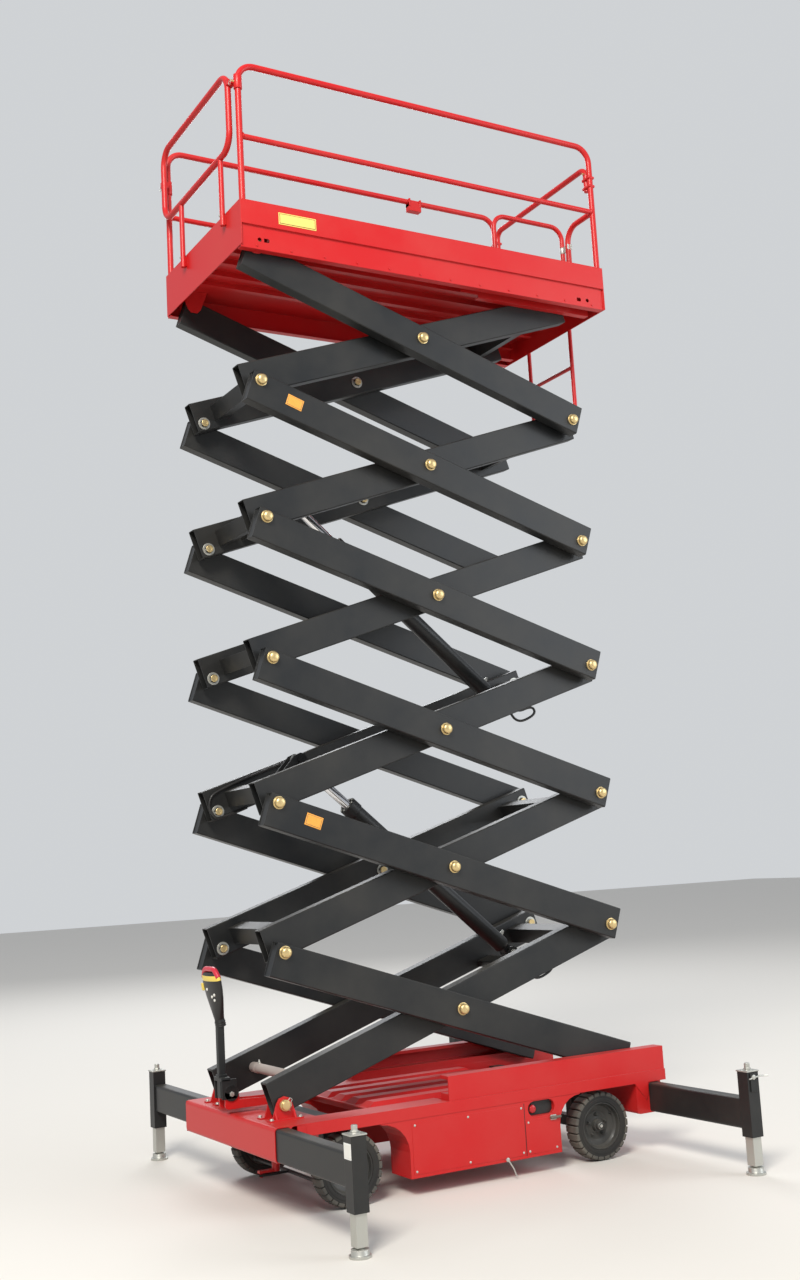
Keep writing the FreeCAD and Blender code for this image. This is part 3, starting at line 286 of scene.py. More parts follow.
def merged(name, pieces):
    bpy.ops.object.select_all(action="DESELECT")
    for piece in pieces:
        piece.select_set(True)
    bpy.context.view_layer.objects.active = pieces[0]
    if len(pieces) > 1:
        bpy.ops.object.join()
    pieces[0].name = name
    pieces[0].data.name = name
    return pieces[0]


def fitted(obj, body, slot, *nodes):
    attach(obj, body)
    if nodes:
        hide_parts(*nodes)


def dropped(*objs):
    for obj in objs:
        bpy.data.objects.remove(obj)


def arm_place(stage, inner):
    # From an arm's own frame, its middle pin at the origin and its pins along X
    angle = -arm_slope if inner else arm_slope
    middle = Vector((-shift, 0, arm_low + (stage - 0.5) * arm_rise))
    return Matrix.Translation(middle) @ Matrix.Rotation(angle, 4, "Y")


# Each arm tube is set a little askew to the line of its pins
tube_lift, tube_fall = 0.0165, 0.065 / (2 * half_arm)


def tube_line(u):
    return tube_lift - u * tube_fall


# Pins of the scissor: a domed head outside, a washer and a slotted nut with a split pin inside
pin_head = turned("pin_head", [(0.036, 0.0), (0.036, 0.003), (0.0335, 0.004), (0.0305, 0.0045), (0.0308, 0.018),
                               (0.0285, 0.025), (0.0225, 0.0305), (0.012, 0.0335), (0.003, 0.034)],
                  along=along_y, sides=24, finish="gold_zinc")
washer = turned("washer", [(0.0385, 0.0), (0.0385, 0.0035), (0.0375, 0.0045), (0.029, 0.0045), (0.020, 0.0045)],
                along=(0, -1, 0), sides=28)
crown = turned("crown", [(0.0225, 0.012), (0.0225, 0.022), (0.0205, 0.0235), (0.012, 0.0235), (0.011, 0.0225)],
               along=(0, -1, 0), sides=24, finish="gold_zinc")
split = bent_tube("split", [(-0.031, -0.019, 0.004), (0.027, -0.019, 0.004), (0.027, -0.019, -0.004),
                            (-0.027, -0.019, -0.004)], 0.0022, 0.0038, sides=8, steps=4, finish="zinc")
pin_nut = merged("pin_nut", [washer, crown, split])
for stage in range(1, stages + 1):
    # Every frame has a middle pin, and its ends have one where they meet the next stage
    outer_spots = [0.0]
    outer_spots += [-half_arm] if stage < stages else []
    outer_spots += [half_arm] if stage > 1 else []
    inner_spots = [0.0, half_arm]
    inner_spots += [-half_arm] if stage > 1 else []
    heads, nuts = [], []
    for u in outer_spots:
        heads += both_sides(pin_head, arm_place(stage, False) @ Matrix.Translation((u, outer_face, 0)))
    for u in inner_spots:
        nuts += both_sides(pin_nut, arm_place(stage, True) @ Matrix.Translation((u, inner_back, 0)))
    fitted(merged("pin_heads_%d" % stage, heads), "outer_%d" % stage, "zinc")
    fitted(merged("pin_nuts_%d" % stage, nuts), "inner_%d" % stage, "zinc")

# Fixed pins at the towing end: a round end through the ears, kept by a spring clip
clip = bent_tube("clip", [(0.0, 0.014, -0.030), (0.0, 0.014, 0.046), (0.018, 0.014, 0.046),
                          (0.018, 0.014, 0.030), (0.030, 0.014, 0.018), (0.030, 0.014, -0.004),
                          (0.038, 0.014, -0.012)],
                 0.0021, 0.005, sides=8, steps=3, finish="zinc")
fixed_end = turned("fixed_end", [(0.0305, 0.0), (0.0305, 0.0165), (0.0290, 0.019), (0.0235, 0.019),
                                 (0.0235, 0.026), (0.0215, 0.028), (0.004, 0.0285)],
                   along=along_y, sides=24, finish="gold_zinc")
fixed_pin = merged("fixed_pin", [fixed_end, clip])
for body, ear_face, z in (("chassis", 0.437, arm_low), ("platform", 0.544, arm_top)):
    place = Matrix.Translation((left_pin, ear_face, z)) @ Matrix.Rotation(math.radians(35), 4, "Y")
    fitted(merged("fixed_pins_" + body, both_sides(fixed_pin, place)), body, "zinc")
dropped(pin_head, pin_nut, fixed_pin)

# The lowest inner frame: hollow tubes, a dusty round cross tube low down and square ones further up
arm_end, arm_half, wall = 1.222, 0.094, 0.0035
arm = slab("arm", (-arm_end, inner_back, -arm_half), (arm_end, inner_face, arm_half), 0.005)
alone(arm)
bpy.ops.object.mode_set(mode="EDIT")
bpy.ops.mesh.select_mode(type="FACE")
bpy.ops.mesh.select_all(action="DESELECT")
bpy.ops.object.mode_set(mode="OBJECT")
for face in arm.data.polygons:
    face.select = abs(face.normal.x) > 0.99 and face.area > 0.008
bpy.ops.object.mode_set(mode="EDIT")
bpy.ops.mesh.inset(thickness=wall)
bpy.ops.mesh.extrude_region_shrink_fatten(TRANSFORM_OT_shrink_fatten={"value": -0.30})
bpy.ops.mesh.select_mode(type="VERT")
bpy.ops.object.mode_set(mode="OBJECT")
arm.data.transform(Matrix.Translation((0, 0, tube_lift)) @ Matrix.Rotation(math.atan(tube_fall), 4, "Y"))

cross_u, foot_top, round_u = 1.032, -0.054, -0.976
cross_v, foot_v, round_v = tube_line(cross_u), tube_line(barrel_u) - 0.090, tube_line(round_u)
frame_bits = [arm, copied(arm, mirror_y),
              slab("cross", (cross_u - 0.048, -inner_back, cross_v - 0.048),
                   (cross_u + 0.048, inner_back, cross_v + 0.048), 0.004),
              slab("foot_box", (barrel_u - 0.048, -inner_back, foot_v),
                   (barrel_u + 0.048, inner_back, foot_top), 0.004)]
for s in (-1, 1):
    low, high = sorted((s * 0.035, s * 0.049))
    frame_bits.append(slab("ear", (barrel_u - 0.036, low, foot_top - 0.002), (barrel_u + 0.036, high, 0.004)))
    frame_bits.append(turned("ear_round", [(0.036, 0.035), (0.0375, 0.037), (0.0375, 0.047), (0.036, 0.049)],
                             base=(barrel_u, 0, barrel_v), along=(0, s, 0), sides=36, finish="black_paint"))
    for u in (0.0, half_arm):
        frame_bits.append(turned("nut", [(0.0270, 0.0), (0.0270, 0.0120), (0.0250, 0.0140), (0.0200, 0.0140)],
                                 base=(u, s * inner_back, 0), along=(0, -s, 0), sides=6))
frame_bits.append(turned("barrel_pin", [(0.0180, -0.057), (0.0200, -0.055), (0.0200, 0.055), (0.0180, 0.057)],
                         base=(barrel_u, 0, barrel_v), along=along_y, sides=28))
frame_bits.append(turned("round_cross", [(0.0315, -0.3405), (0.0315, -0.326), (0.0280, -0.322), (0.0280, 0.270),
                                         (0.0315, 0.273), (0.0315, 0.292), (0.0290, 0.295), (0.0290, 0.3405)],
                         base=(round_u, 0, round_v), along=along_y, sides=36, finish="dusty_steel"))
frame_bits.append(turned("nipple", [(0.0090, 0.020), (0.0090, 0.036), (0.0060, 0.038), (0.0055, 0.046),
                                    (0.0030, 0.048)], base=(round_u, 0.255, round_v), along=(0.35, 0, 1), sides=6))
lowest = merged("inner_frame_1", frame_bits)
lowest.data.transform(arm_place(1, True))
fitted(lowest, "inner_1", "black_paint", "inner_arms_1")

# Blank plates on two near outer arms
plate_x = -0.911
for stage, z in ((5, 4.4475), (2, 2.0455)):
    layers = [slab("plate", (-0.052, -0.0024, -0.034), (0.052, 0.0, 0.034), 0.0008, 2, "orange_plate"),
              slab("plate_rim", (-0.046, -0.0030, -0.028), (0.046, -0.0022, 0.028), 0.0003, 1, "brown_plastic"),
              slab("plate_field", (-0.044, -0.0034, -0.026), (0.044, -0.0028, 0.026), 0.0002, 1, "orange_plate")]
    whole = merged("arm_plate_%d" % stage, layers)
    place = Matrix.Translation((plate_x, -outer_face - 0.0001, z))
    whole.data.transform(place @ Matrix.Rotation(arm_slope, 4, "Y"))
    fitted(whole, "outer_%d" % stage, "black_plastic")


def cylinder_eye(name, bore, base, finish):
    steps = [(bore, -0.030), (0.036, -0.030), (0.038, -0.028), (0.038, 0.028), (0.036, 0.030), (bore, 0.030),
             (bore, -0.030)]
    return turned(name, steps, base=base, along=along_y, sides=36, finish=finish)


# Cylinders: smooth barrels with a bolted gland, chrome rods and eyes
base_point = arm_place(1, True) @ Vector((barrel_u, 0, barrel_v))
eye_point = arm_place(3, True) @ Vector((-0.7225, 0, 0.126))
line = eye_point - base_point
reach, way = line.length, line.normalized()
across = way.cross(Vector(along_y))
rod_out, rod_inside, gland = 0.417, 0.850, 0.070
mouth = reach - rod_out
for level, stage in (("lower", 1), ("upper", 3)):
    start = base_point + Vector((0, 0, (stage - 1) * arm_rise))
    tube = turned("tube", [(0.0288, 0.150), (0.0288, mouth), (0.0545, mouth), (0.0570, mouth - 0.0025),
                           (0.0570, mouth - gland + 0.003), (0.0545, mouth - gland),
                           (0.0525, mouth - gland - 0.004), (0.0520, mouth - gland - 0.008), (0.0520, 0.080),
                           (0.0500, 0.070), (0.0400, 0.060), (0.0060, 0.060)],
                  base=start, along=line, sides=40, finish="black_paint")
    neck = slab("neck", (0.022, -0.029, -0.026), (0.064, 0.029, 0.026), 0.003)
    turn = Vector(along_x).rotation_difference(line)
    neck.data.transform(Matrix.Translation(start) @ turn.to_matrix().to_4x4())
    port = turned("port", [(0.012, 0.048), (0.012, 0.066), (0.0105, 0.068), (0.0085, 0.068), (0.0085, 0.078),
                           (0.0070, 0.080)], base=start + way * 0.115, along=-across, sides=6)
    barrel = [tube, cylinder_eye("eye", 0.0205, start, "black_paint"), neck, port]
    for k in range(8):
        t = math.radians(22.5 + 45 * k)
        spot = start + way * mouth + (across * math.cos(t) + Vector(along_y) * math.sin(t)) * 0.046
        barrel.append(turned("bolt", [(0.0062, -0.002), (0.0062, 0.0050), (0.0054, 0.0062), (0.0030, 0.0062)],
                             base=spot, along=line, sides=6))
    fitted(merged("barrel_dressed_" + level, barrel), level + "_barrel", "black_paint", "barrel_" + level)
    rod = [turned("rod", [(0.022, mouth - rod_inside), (0.028, mouth - rod_inside + 0.008),
                          (0.028, reach - 0.060), (0.025, reach - 0.055), (0.025, reach - 0.030)],
                  base=start, along=line, sides=36, finish="chrome"),
           cylinder_eye("rod_eye", 0.0222, start + line, "zinc"),
           turned("collar", [(0.030, reach - 0.045), (0.0325, reach - 0.043), (0.0325, reach - 0.034),
                             (0.030, reach - 0.031)], base=start, along=line, sides=6)]
    fitted(merged("rod_dressed_" + level, rod), level + "_rod", "chrome", "rod_" + level)


def hose(name, route, y, stage, node):
    # A hose as a smooth line through its route on an inner frame, fixed at both ends
    place = arm_place(stage, True)
    points = [place @ Vector((u, y, v)) for u, v in route]
    curve = bpy.data.curves.new(name, "CURVE")
    curve.dimensions = "3D"
    curve.bevel_depth = 0.008
    curve.bevel_resolution = 4
    curve.resolution_u = 10
    spline = curve.splines.new("NURBS")
    spline.points.add(len(points) - 1)
    for spot, point in zip(spline.points, points):
        spot.co = (*point, 1.0)
    spline.order_u = 3
    spline.use_endpoint_u = True
    made = bpy.data.objects.new(name, curve)
    scene.collection.objects.link(made)
    painted(made, "black_plastic")
    fitted(made, "inner_%d" % stage, "black_plastic", node)


foot_route = [(0.770, foot_v), (0.770, foot_v - 0.036), (0.904, foot_v - 0.036), (0.904, foot_v - 0.100),
              (0.724, foot_v - 0.100), (0.724, foot_v)]
end_route = [(-0.650, tube_line(-0.650) + 0.080), (-1.140, tube_line(-half_arm) + 0.080), (-1.214, 0.070),
             (-1.214, -0.012), (-1.180, -0.046), (-0.990, -0.046)]
hose("hose_foot_lower", foot_route, -0.150, 1, "hose_lower")
hose("hose_foot_upper", foot_route, -0.150, 3, "hose_upper")
hose("hose_end_upper", end_route, 0.3333, 3, "hose_upper")

# Platform rails as round tubes, the far one with its saddle
rails = []
for y in (-rail_y, rail_y):
    rails.append(bent_tube("hoop", [(post_left, y, toe_z + 0.002), (post_left, y, top_rail_z),
                                    (post_right, y, top_rail_z), (post_right, y, toe_z + 0.002)],
                           0.019, 0.105, sides=20, steps=9))
    rails.append(bent_tube("middle", [(post_left, y, mid_rail_z), (post_right, y, mid_rail_z)], 0.017, sides=18))
    for x, inward in ((post_left + 0.0165, 1), (post_right - 0.0165, -1)):
        rails.append(turned("weld", [(0.0235, 0.0), (0.0225, 0.003), (0.0175, 0.0065)], base=(x, y, mid_rail_z),
                            along=(inward, 0, 0), sides=18, finish="red_paint"))
saddle_x = 0.669 - shift
rails.append(slab("saddle", (saddle_x - 0.050, rail_y - 0.026, top_rail_z - 0.072),
                  (saddle_x + 0.050, rail_y + 0.0235, top_rail_z - 0.008), 0.003, 2, "red_paint"))
for x in (saddle_x - 0.050, saddle_x + 0.038):
    rails.append(slab("prong", (x, rail_y - 0.030, top_rail_z - 0.040),
                      (x + 0.012, rail_y + 0.0238, top_rail_z + 0.018), 0.002, 2, "red_paint"))
fitted(merged("side_rails_round", rails), "platform", "red_paint", "side_rails")

# Loop across the towing end, on two posts
loop_x, loop_y = deck_left - 0.019, 0.532
loop_low, loop_high = floor_z + 0.482, floor_z + 0.953
post_foot = toe_z + 0.060
loop_parts = [bent_tube("loop", [(loop_x, -loop_y, loop_low), (loop_x, -loop_y, loop_high),
                                 (loop_x, loop_y, loop_high), (loop_x, loop_y, loop_low)],
                        0.019, 0.105, sides=20, closed=True, steps=9)]
for y in (-0.385, 0.250):
    loop_parts.append(bent_tube("post", [(loop_x, y, post_foot), (loop_x, y, loop_low - 0.008)], 0.016,
                                sides=18))
    loop_parts.append(slab("post_foot", (loop_x, y - 0.012, post_foot + 0.005),
                           (deck_left, y + 0.012, toe_z + 0.126), 0.003, 2, "red_paint"))
    loop_parts.append(turned("post_bolt", [(0.007, 0.0), (0.007, 0.005), (0.006, 0.006), (0.002, 0.006)],
                             base=(loop_x - 0.0155, y, post_foot + 0.060), along=(-1, 0, 0), sides=6))
fitted(merged("front_loop_round", loop_parts), "platform", "red_paint", "front_loop")

# Top rail over the gateway, its clasps, and the stubs of the middle rail with the gate's hinge eyes
end_y, end_z = deck_half - 0.063, top_rail_z - 0.120
gate_y = -0.225
hinge_low, hinge_high = floor_z + 0.172, floor_z + 0.412
rear_parts = [bent_tube("rear_top", [(post_right, -end_y, end_z - 0.170), (post_right, -end_y, end_z),
                                     (post_right, end_y, end_z), (post_right, end_y, end_z - 0.170)],
                        0.019, 0.060, sides=20, steps=8)]
for s, stub_y in ((-1, -0.290), (1, 0.400)):
    for level in (end_z - 0.090, end_z - 0.150):
        low, high = sorted((s * (end_y - 0.021), s * (deck_half - 0.003)))
        rear_parts.append(slab("clasp", (post_right - 0.0245, low, level - 0.009),
                               (post_right + 0.0245, high, level + 0.009), 0.006, 3, "red_paint"))
    rear_parts.append(bent_tube("stub", [(post_right, s * end_y, mid_rail_z), (post_right, stub_y, mid_rail_z),
                                         (post_right, stub_y, toe_z + 0.002)], 0.019, 0.105, sides=20, steps=8))
    low, high = sorted((s * (end_y - 0.010), s * (deck_half - 0.030)))
    rear_parts.append(slab("stub_end", (post_right - 0.009, low, mid_rail_z - 0.009),
                           (post_right + 0.009, high, mid_rail_z + 0.009), 0.003, 2, "red_paint"))
for level in (hinge_low, hinge_high):
    rear_parts.append(turned("hinge_eye", [(0.0082, -0.0225), (0.0155, -0.0225), (0.0165, -0.0205),
                                           (0.0165, 0.0205), (0.0155, 0.0225), (0.0082, 0.0225), (0.0082, -0.0225)],
                             base=(post_right, gate_y, level), sides=24))
    rear_parts.append(slab("hinge_arm", (post_right - 0.006, -0.290, level - 0.0215),
                           (post_right + 0.006, -0.2395, level + 0.0215), 0.002, 2, "zinc"))
fitted(merged("rear_rails_round", rear_parts), "platform", "red_paint", "rear_rail")

# Gate: a hoop with a low rail, cleared round the hinge eyes
gate_left = post_right - 0.560
gate_foot, gate_top = floor_z + 0.090, floor_z + 0.577
eye_gap = 0.023
gate_parts = [bent_tube("gate_hoop", [(gate_left, gate_y, gate_foot), (gate_left, gate_y, gate_top),
                                      (post_right, gate_y, gate_top),
                                      (post_right, gate_y, hinge_high + eye_gap)],
                        0.016, 0.090, sides=20, steps=8)]
for low, high in ((hinge_low + eye_gap, hinge_high - eye_gap), (gate_foot, hinge_low - eye_gap)):
    gate_parts.append(turned("gate_leg", [(0.016, low), (0.016, high)], base=(post_right, gate_y, 0), sides=20,
                             finish="red_paint"))
gate_parts.append(turned("gate_low", [(0.014, gate_left), (0.014, post_right)],
                         base=(0, gate_y, gate_foot + 0.060), along=along_x, sides=18, finish="red_paint"))
gate_parts.append(turned("gate_pin", [(0.0078, gate_foot + 0.012), (0.0078, hinge_high + 0.038)],
                         base=(post_right, gate_y, 0), sides=16))
fitted(merged("gate_round", gate_parts), "platform_gate", "red_paint", "gate")

# Ladder
ladder_x, ladder_low = deck_right + 0.015, channel_z - 0.552
ladder_near, ladder_far = -0.182, 0.305
ladder_parts = []
for y in (ladder_near, ladder_far):
    ladder_parts.append(turned("stile", [(0.011, ladder_low + 0.001), (0.0142, ladder_low + 0.004),
                                         (0.0142, channel_z + 0.097), (0.011, channel_z + 0.100)],
                               base=(ladder_x, y, 0), sides=20, finish="red_paint"))
    for z in (channel_z + 0.030, channel_z + 0.078):
        ladder_parts.append(turned("stile_bolt", [(0.0085, 0.0), (0.0085, 0.0065), (0.0075, 0.0078),
                                                  (0.0030, 0.0080)],
                                   base=(ladder_x + 0.0060, y, z), along=along_x, sides=6))
for z in (ladder_low + 0.020, channel_z - 0.254):
    ladder_parts.append(turned("rung", [(0.013, ladder_near), (0.013, ladder_far)], base=(ladder_x, 0, z),
                               along=along_y, sides=20, finish="red_paint"))
fitted(merged("ladder_round", ladder_parts), "platform", "red_paint", "ladder")


def pull_ring(x, y, z, drop):
    return bent_tube("pull_ring", [(x, y - 0.014, z), (x, y + 0.014, z), (x, y + 0.014, z - drop),
                                   (x, y - 0.014, z - drop)], 0.0017, 0.0125, sides=8, closed=True, steps=4,
                     finish="zinc")


# Sleeves with locking pins where the end loop meets the side hoops
for s, label, z in ((-1, "near", floor_z + 0.877), (1, "far", floor_z + 0.740)):
    y = s * rail_y
    low, high = sorted((s * (loop_y - 0.006), s * 0.562))
    parts = [turned("collar", [(0.0200, -0.045), (0.0235, -0.045), (0.0250, -0.042), (0.0250, 0.042),
                               (0.0235, 0.045), (0.0200, 0.045), (0.0200, -0.045)],
                    base=(post_left, y, z), sides=28, finish="red_paint"),
             slab("collar_link", (loop_x - 0.0155, low, z - 0.020), (post_left - 0.016, high, z + 0.020),
                  0.003, 2, "red_paint"),
             turned("lock_pin", [(0.0050, -0.036), (0.0060, -0.034), (0.0060, 0.034), (0.0050, 0.036)],
                    base=(post_left - 0.012, y, z), along=along_x, sides=14, finish="gold_zinc"),
             pull_ring(post_left - 0.052, y, z, 0.028)]
    fitted(merged("rail_sleeve_" + label, parts), "platform", "red_paint")

# Locking pin with its ring at the rear rail's near clasp
lock_y, lock_z = -end_y - 0.005, end_z - 0.048
lock = turned("lock", [(0.0045, -0.034), (0.0055, -0.032), (0.0055, 0.032), (0.0045, 0.034)],
              base=(post_right, lock_y, lock_z), along=along_x, sides=14, finish="gold_zinc")
fitted(merged("rear_lock", [lock, pull_ring(post_right + 0.036, lock_y, lock_z, 0.030)]), "platform", "zinc")

# Gate hinges in zinc leaves, with bolts
leaf_y = -0.3085
leaves = []
for level in (hinge_low, hinge_high):
    leaves.append(slab("leaf", (post_right - 0.020, leaf_y, level - 0.019),
                       (post_right + 0.020, leaf_y + 0.0025, level + 0.019), 0.0008, 1, "zinc"))
    for dz in (-0.010, 0.010):
        leaves.append(turned("leaf_bolt", [(0.0055, 0.0), (0.0055, 0.0035), (0.0045, 0.0045), (0.0015, 0.0045)],
                             base=(post_right + 0.012, leaf_y, level + dz), along=(0, -1, 0), sides=6))
fitted(merged("gate_leaves", leaves), "platform", "zinc")

# Blank plate on the near toe board, rivets along both toe boards
toe_face = -deck_half
layers = []
for name, inset, back, front, edge, steps, finish in (
        ("plate", 0.0, 0.0, 0.0022, 0.0008, 2, "yellow_plate"),
        ("plate_rim", 0.006, 0.002, 0.0028, 0.0002, 1, "black_plastic"),
        ("plate_field", 0.009, 0.0026, 0.0034, 0.0002, 1, "yellow_plate")):
    layers.append(slab(name, (-0.980 - shift + inset, toe_face - front, 5.493 + inset),
                       (-0.737 - shift - inset, toe_face - back, 5.566 - inset), edge, steps, finish))
fitted(merged("toe_plate", layers), "platform", "black_plastic")
rivets = []
rivet_count = 12
rivet_step = (deck_right - deck_left - 0.20) / (rivet_count - 1)
for side in (-1, 1):
    for k in range(rivet_count):
        spot = (deck_left + 0.10 + k * rivet_step, side * (deck_half - 0.012), channel_z + 0.022)
        rivets.append(turned("rivet", [(0.0075, 0.0), (0.0075, 0.0020), (0.0060, 0.0042), (0.0020, 0.0050)],
                             base=spot, along=(0, side, 0), sides=10, finish="red_paint"))
fitted(merged("channel_rivets", rivets), "platform", "red_paint")

# Raised pattern of the floor panel, in short crossed bars
bars = []
unit = slab("tread_bar", (-0.016, -0.0030, 0.0), (0.016, 0.0030, 0.0018), 0.0008, 1, "red_paint")
for i in range(42):
    for j in range(19):
        spot = (deck_left + 0.095 + i * 0.0588, -0.522 + j * 0.058, floor_z + 0.003)
        turn = Matrix.Rotation(math.radians(45 if (i + j) % 2 else -45), 4, "Z")
        bars.append(copied(unit, Matrix.Translation(spot) @ turn))
dropped(unit)
fitted(merged("floor_tread", bars), "platform", "red_paint")

# Tyres: a rounded carcass with side rings and solid lugs whose shoulders wrap down the sides
lugs, lug_seat = 26, 0.1826
half_tyre = [(0.1345, 0.044), (0.1365, 0.048), (0.150, 0.0505), (0.156, 0.0512), (0.157, 0.0500),
             (0.166, 0.0500), (0.167, 0.0505), (0.176, 0.0480), (0.1825, 0.0445), (0.1845, 0.0390)]
tyre_shape = [(r, -y) for r, y in half_tyre] + [(0.1850, 0.0)] + half_tyre[::-1] + [(0.1345, -0.044)]
carcass = turned("carcass", tyre_shape, along=along_y, sides=52, finish="rubber")
lug = slab("lug", (-0.0185, -0.0510, -0.0130), (0.0185, 0.0510, 0.0120), 0.0030, 1, "worn_rubber")
alone(lug)
bpy.ops.object.mode_set(mode="EDIT")
for y in (0.030, -0.030):
    bpy.ops.mesh.select_all(action="SELECT")
    bpy.ops.mesh.bisect(plane_co=(0, y, 0), plane_no=along_y)
bpy.ops.object.mode_set(mode="OBJECT")
for vertex in lug.data.vertices:
    if abs(vertex.co.y) > 0.040 and vertex.co.z > 0.0:
        vertex.co.z -= 0.0045 * (abs(vertex.co.y) - 0.030) / 0.020
ring = [carcass]
for k in range(lugs):
    turn = Matrix.Rotation(2 * math.pi * (k + 0.5) / lugs, 4, "Y")
    ring.append(copied(lug, turn @ Matrix.Translation((0, 0, lug_seat))))
dropped(lug)
tyre = merged("tyre", ring)

# Rims: rolled lip, stepped dish, hub with its axle nut, studs and a valve
rim_shape = [(0.1340, -0.044), (0.1340, 0.0440), (0.1310, 0.0465), (0.1275, 0.0455), (0.1262, 0.0380),
             (0.1235, 0.0200), (0.1150, 0.0120), (0.1120, 0.0060), (0.0980, 0.0020), (0.0860, -0.0030),
             (0.0800, -0.0075), (0.0480, -0.0080), (0.0450, -0.0060), (0.0345, -0.0055), (0.0345, -0.0140),
             (0.1050, -0.0140), (0.1220, -0.0420), (0.1340, -0.044)]
wheel_bits = [turned("dish", rim_shape, along=along_y, sides=48, finish="rim_paint"),
              turned("hub", [(0.0300, -0.043), (0.0340, -0.041), (0.0340, 0.0160), (0.0320, 0.0195),
                             (0.0260, 0.0200), (0.0255, 0.0360), (0.0235, 0.0385), (0.0150, 0.0395),
                             (0.0030, 0.0398)],
                     along=along_y, finish="rim_paint")]
studs, stud_ring = 5, 0.062
for k in range(studs):
    t = 2 * math.pi * k / studs
    wheel_bits.append(turned("stud", [(0.0115, 0.0), (0.0115, 0.0030), (0.0090, 0.0032), (0.0090, 0.0110),
                                      (0.0074, 0.0125), (0.0050, 0.0125), (0.0048, 0.0170), (0.0030, 0.0180)],
                             base=(stud_ring * math.sin(t), -0.0085, stud_ring * math.cos(t)),
                             along=along_y, sides=6, finish="rim_paint"))
wheel_bits.append(turned("axle_washer", [(0.0175, 0.0390), (0.0185, 0.0398), (0.0185, 0.0412), (0.0175, 0.0418)],
                         along=along_y, sides=28))
wheel_bits.append(turned("axle_nut", [(0.0110, 0.0410), (0.0110, 0.0440), (0.0098, 0.0452), (0.0050, 0.0454)],
                         along=along_y, sides=6))
wheel_bits.append(turned("valve", [(0.0045, 0.0), (0.0045, 0.0160), (0.0030, 0.0180), (0.0030, 0.0250),
                                   (0.0015, 0.0260)],
                         base=(0.090, -0.004, 0.058), along=(0.1, 1, 0), sides=10, finish="black_plastic"))
wheel = merged("wheel", wheel_bits)
for end, x in (("front", front_wheel_x), ("rear", rear_wheel_x)):
    for label, s in (("near", -1), ("far", 1)):
        place = Matrix.Translation((x, s * wheel_y, wheel_z)) @ Matrix.Scale(s, 4, Vector(along_y))
        for source, kind, slot in ((tyre, "tyre", "rubber"), (wheel, "rim", "rim_paint")):
            twin = copied(source, place)
            twin.name = "%s_dressed_%s_%s" % (kind, end, label)
            fitted(twin, "wheel_%s_%s" % (end, label), slot, "%s_%s_%s" % (kind, end, label))
dropped(tyre, wheel)

# Outriggers: plate, washer, nut and screw on each cap, and the feet's turned tops
leg_back = 0.012
front_leg, rear_leg = chassis_left + 0.048 - leg_back, chassis_right - 0.087 - leg_back
cap_z = 0.555
for label, x, y in (("front_near", front_leg, -leg_y), ("front_far", front_leg + 0.091, leg_y),
                    ("rear_near", rear_leg, -leg_y), ("rear_far", rear_leg - 0.091, leg_y)):
    parts = [turned("screw_washer", [(0.0300, 0.0), (0.0300, 0.0035), (0.0200, 0.0040)], base=(x, y, cap_z),
                    sides=28),
             turned("screw_nut", [(0.0185, 0.0035), (0.0200, 0.0050), (0.0200, 0.0110), (0.0185, 0.0125),
                                  (0.0160, 0.0125)], base=(x, y, cap_z), sides=6),
             turned("screw_end", [(0.0158, 0.0110), (0.0158, 0.0355), (0.0140, 0.0378), (0.0040, 0.0380)],
                    base=(x, y, cap_z), sides=20),
             slab("cap_plate", (x - 0.0445, y - 0.0445, 0.5478), (x + 0.0445, y + 0.0445, 0.5556),
                  0.0015, 2, "zinc")]
    fitted(merged("leg_cap_" + label, parts), "outrigger_" + label, "zinc")
    foot = turned("foot_disc", [(0.0528, 0.0008), (0.0534, 0.0030), (0.0534, 0.0095), (0.0515, 0.0125),
                                (0.0450, 0.0145), (0.0430, 0.0180), (0.0425, 0.0330), (0.0400, 0.0380),
                                (0.0340, 0.0405), (0.0240, 0.0420), (0.0215, 0.0450), (0.0215, 0.0475)],
                  base=(x, y, 0), sides=40)
    fitted(merged("foot_top_" + label, [foot]), "foot_" + label, "zinc")

# Crank clamp with lever and pale grip on the rear near leg
clamp_y = -leg_y - 0.0475
clamp = [slab("clamp_plate", (rear_leg - 0.024, clamp_y, 0.442), (rear_leg + 0.022, clamp_y + 0.008, 0.540)),
         turned("clamp_boss", [(0.0130, 0.0), (0.0130, 0.0040), (0.0110, 0.0052), (0.0040, 0.0052)],
                base=(rear_leg - 0.002, clamp_y, 0.520), along=(0, -1, 0), sides=24),
         bent_tube("clamp_lever", [(rear_leg - 0.034, clamp_y, 0.512),
                                   (rear_leg + 0.040, clamp_y - 0.0003, 0.523),
                                   (rear_leg + 0.098, clamp_y, 0.519)],
                   0.0044, 0.030, sides=12, steps=4, finish="zinc"),
         turned("clamp_grip", [(0.0042, 0.0), (0.0055, 0.004), (0.0058, 0.020), (0.0055, 0.032), (0.0035, 0.036)],
                base=(rear_leg + 0.072, clamp_y - 0.0001, 0.5208), along=(0.995, 0, -0.06), sides=18,
                finish="pale_plastic")]
fitted(merged("crank_clamp", clamp), "outrigger_rear_near", "zinc")

# Blank white plate on the front near leg
layers = [slab("plate", (front_leg - 0.0420, -leg_y - 0.036, 0.440),
               (front_leg - 0.0400, -leg_y + 0.036, 0.514), 0.0006, 2, "white_plate"),
          slab("plate_field", (front_leg - 0.0424, -leg_y - 0.030, 0.446),
               (front_leg - 0.0418, -leg_y + 0.030, 0.508), 0.0002, 1, "pale_plastic")]
fitted(merged("leg_plate", layers), "outrigger_front_near", "black_plastic")

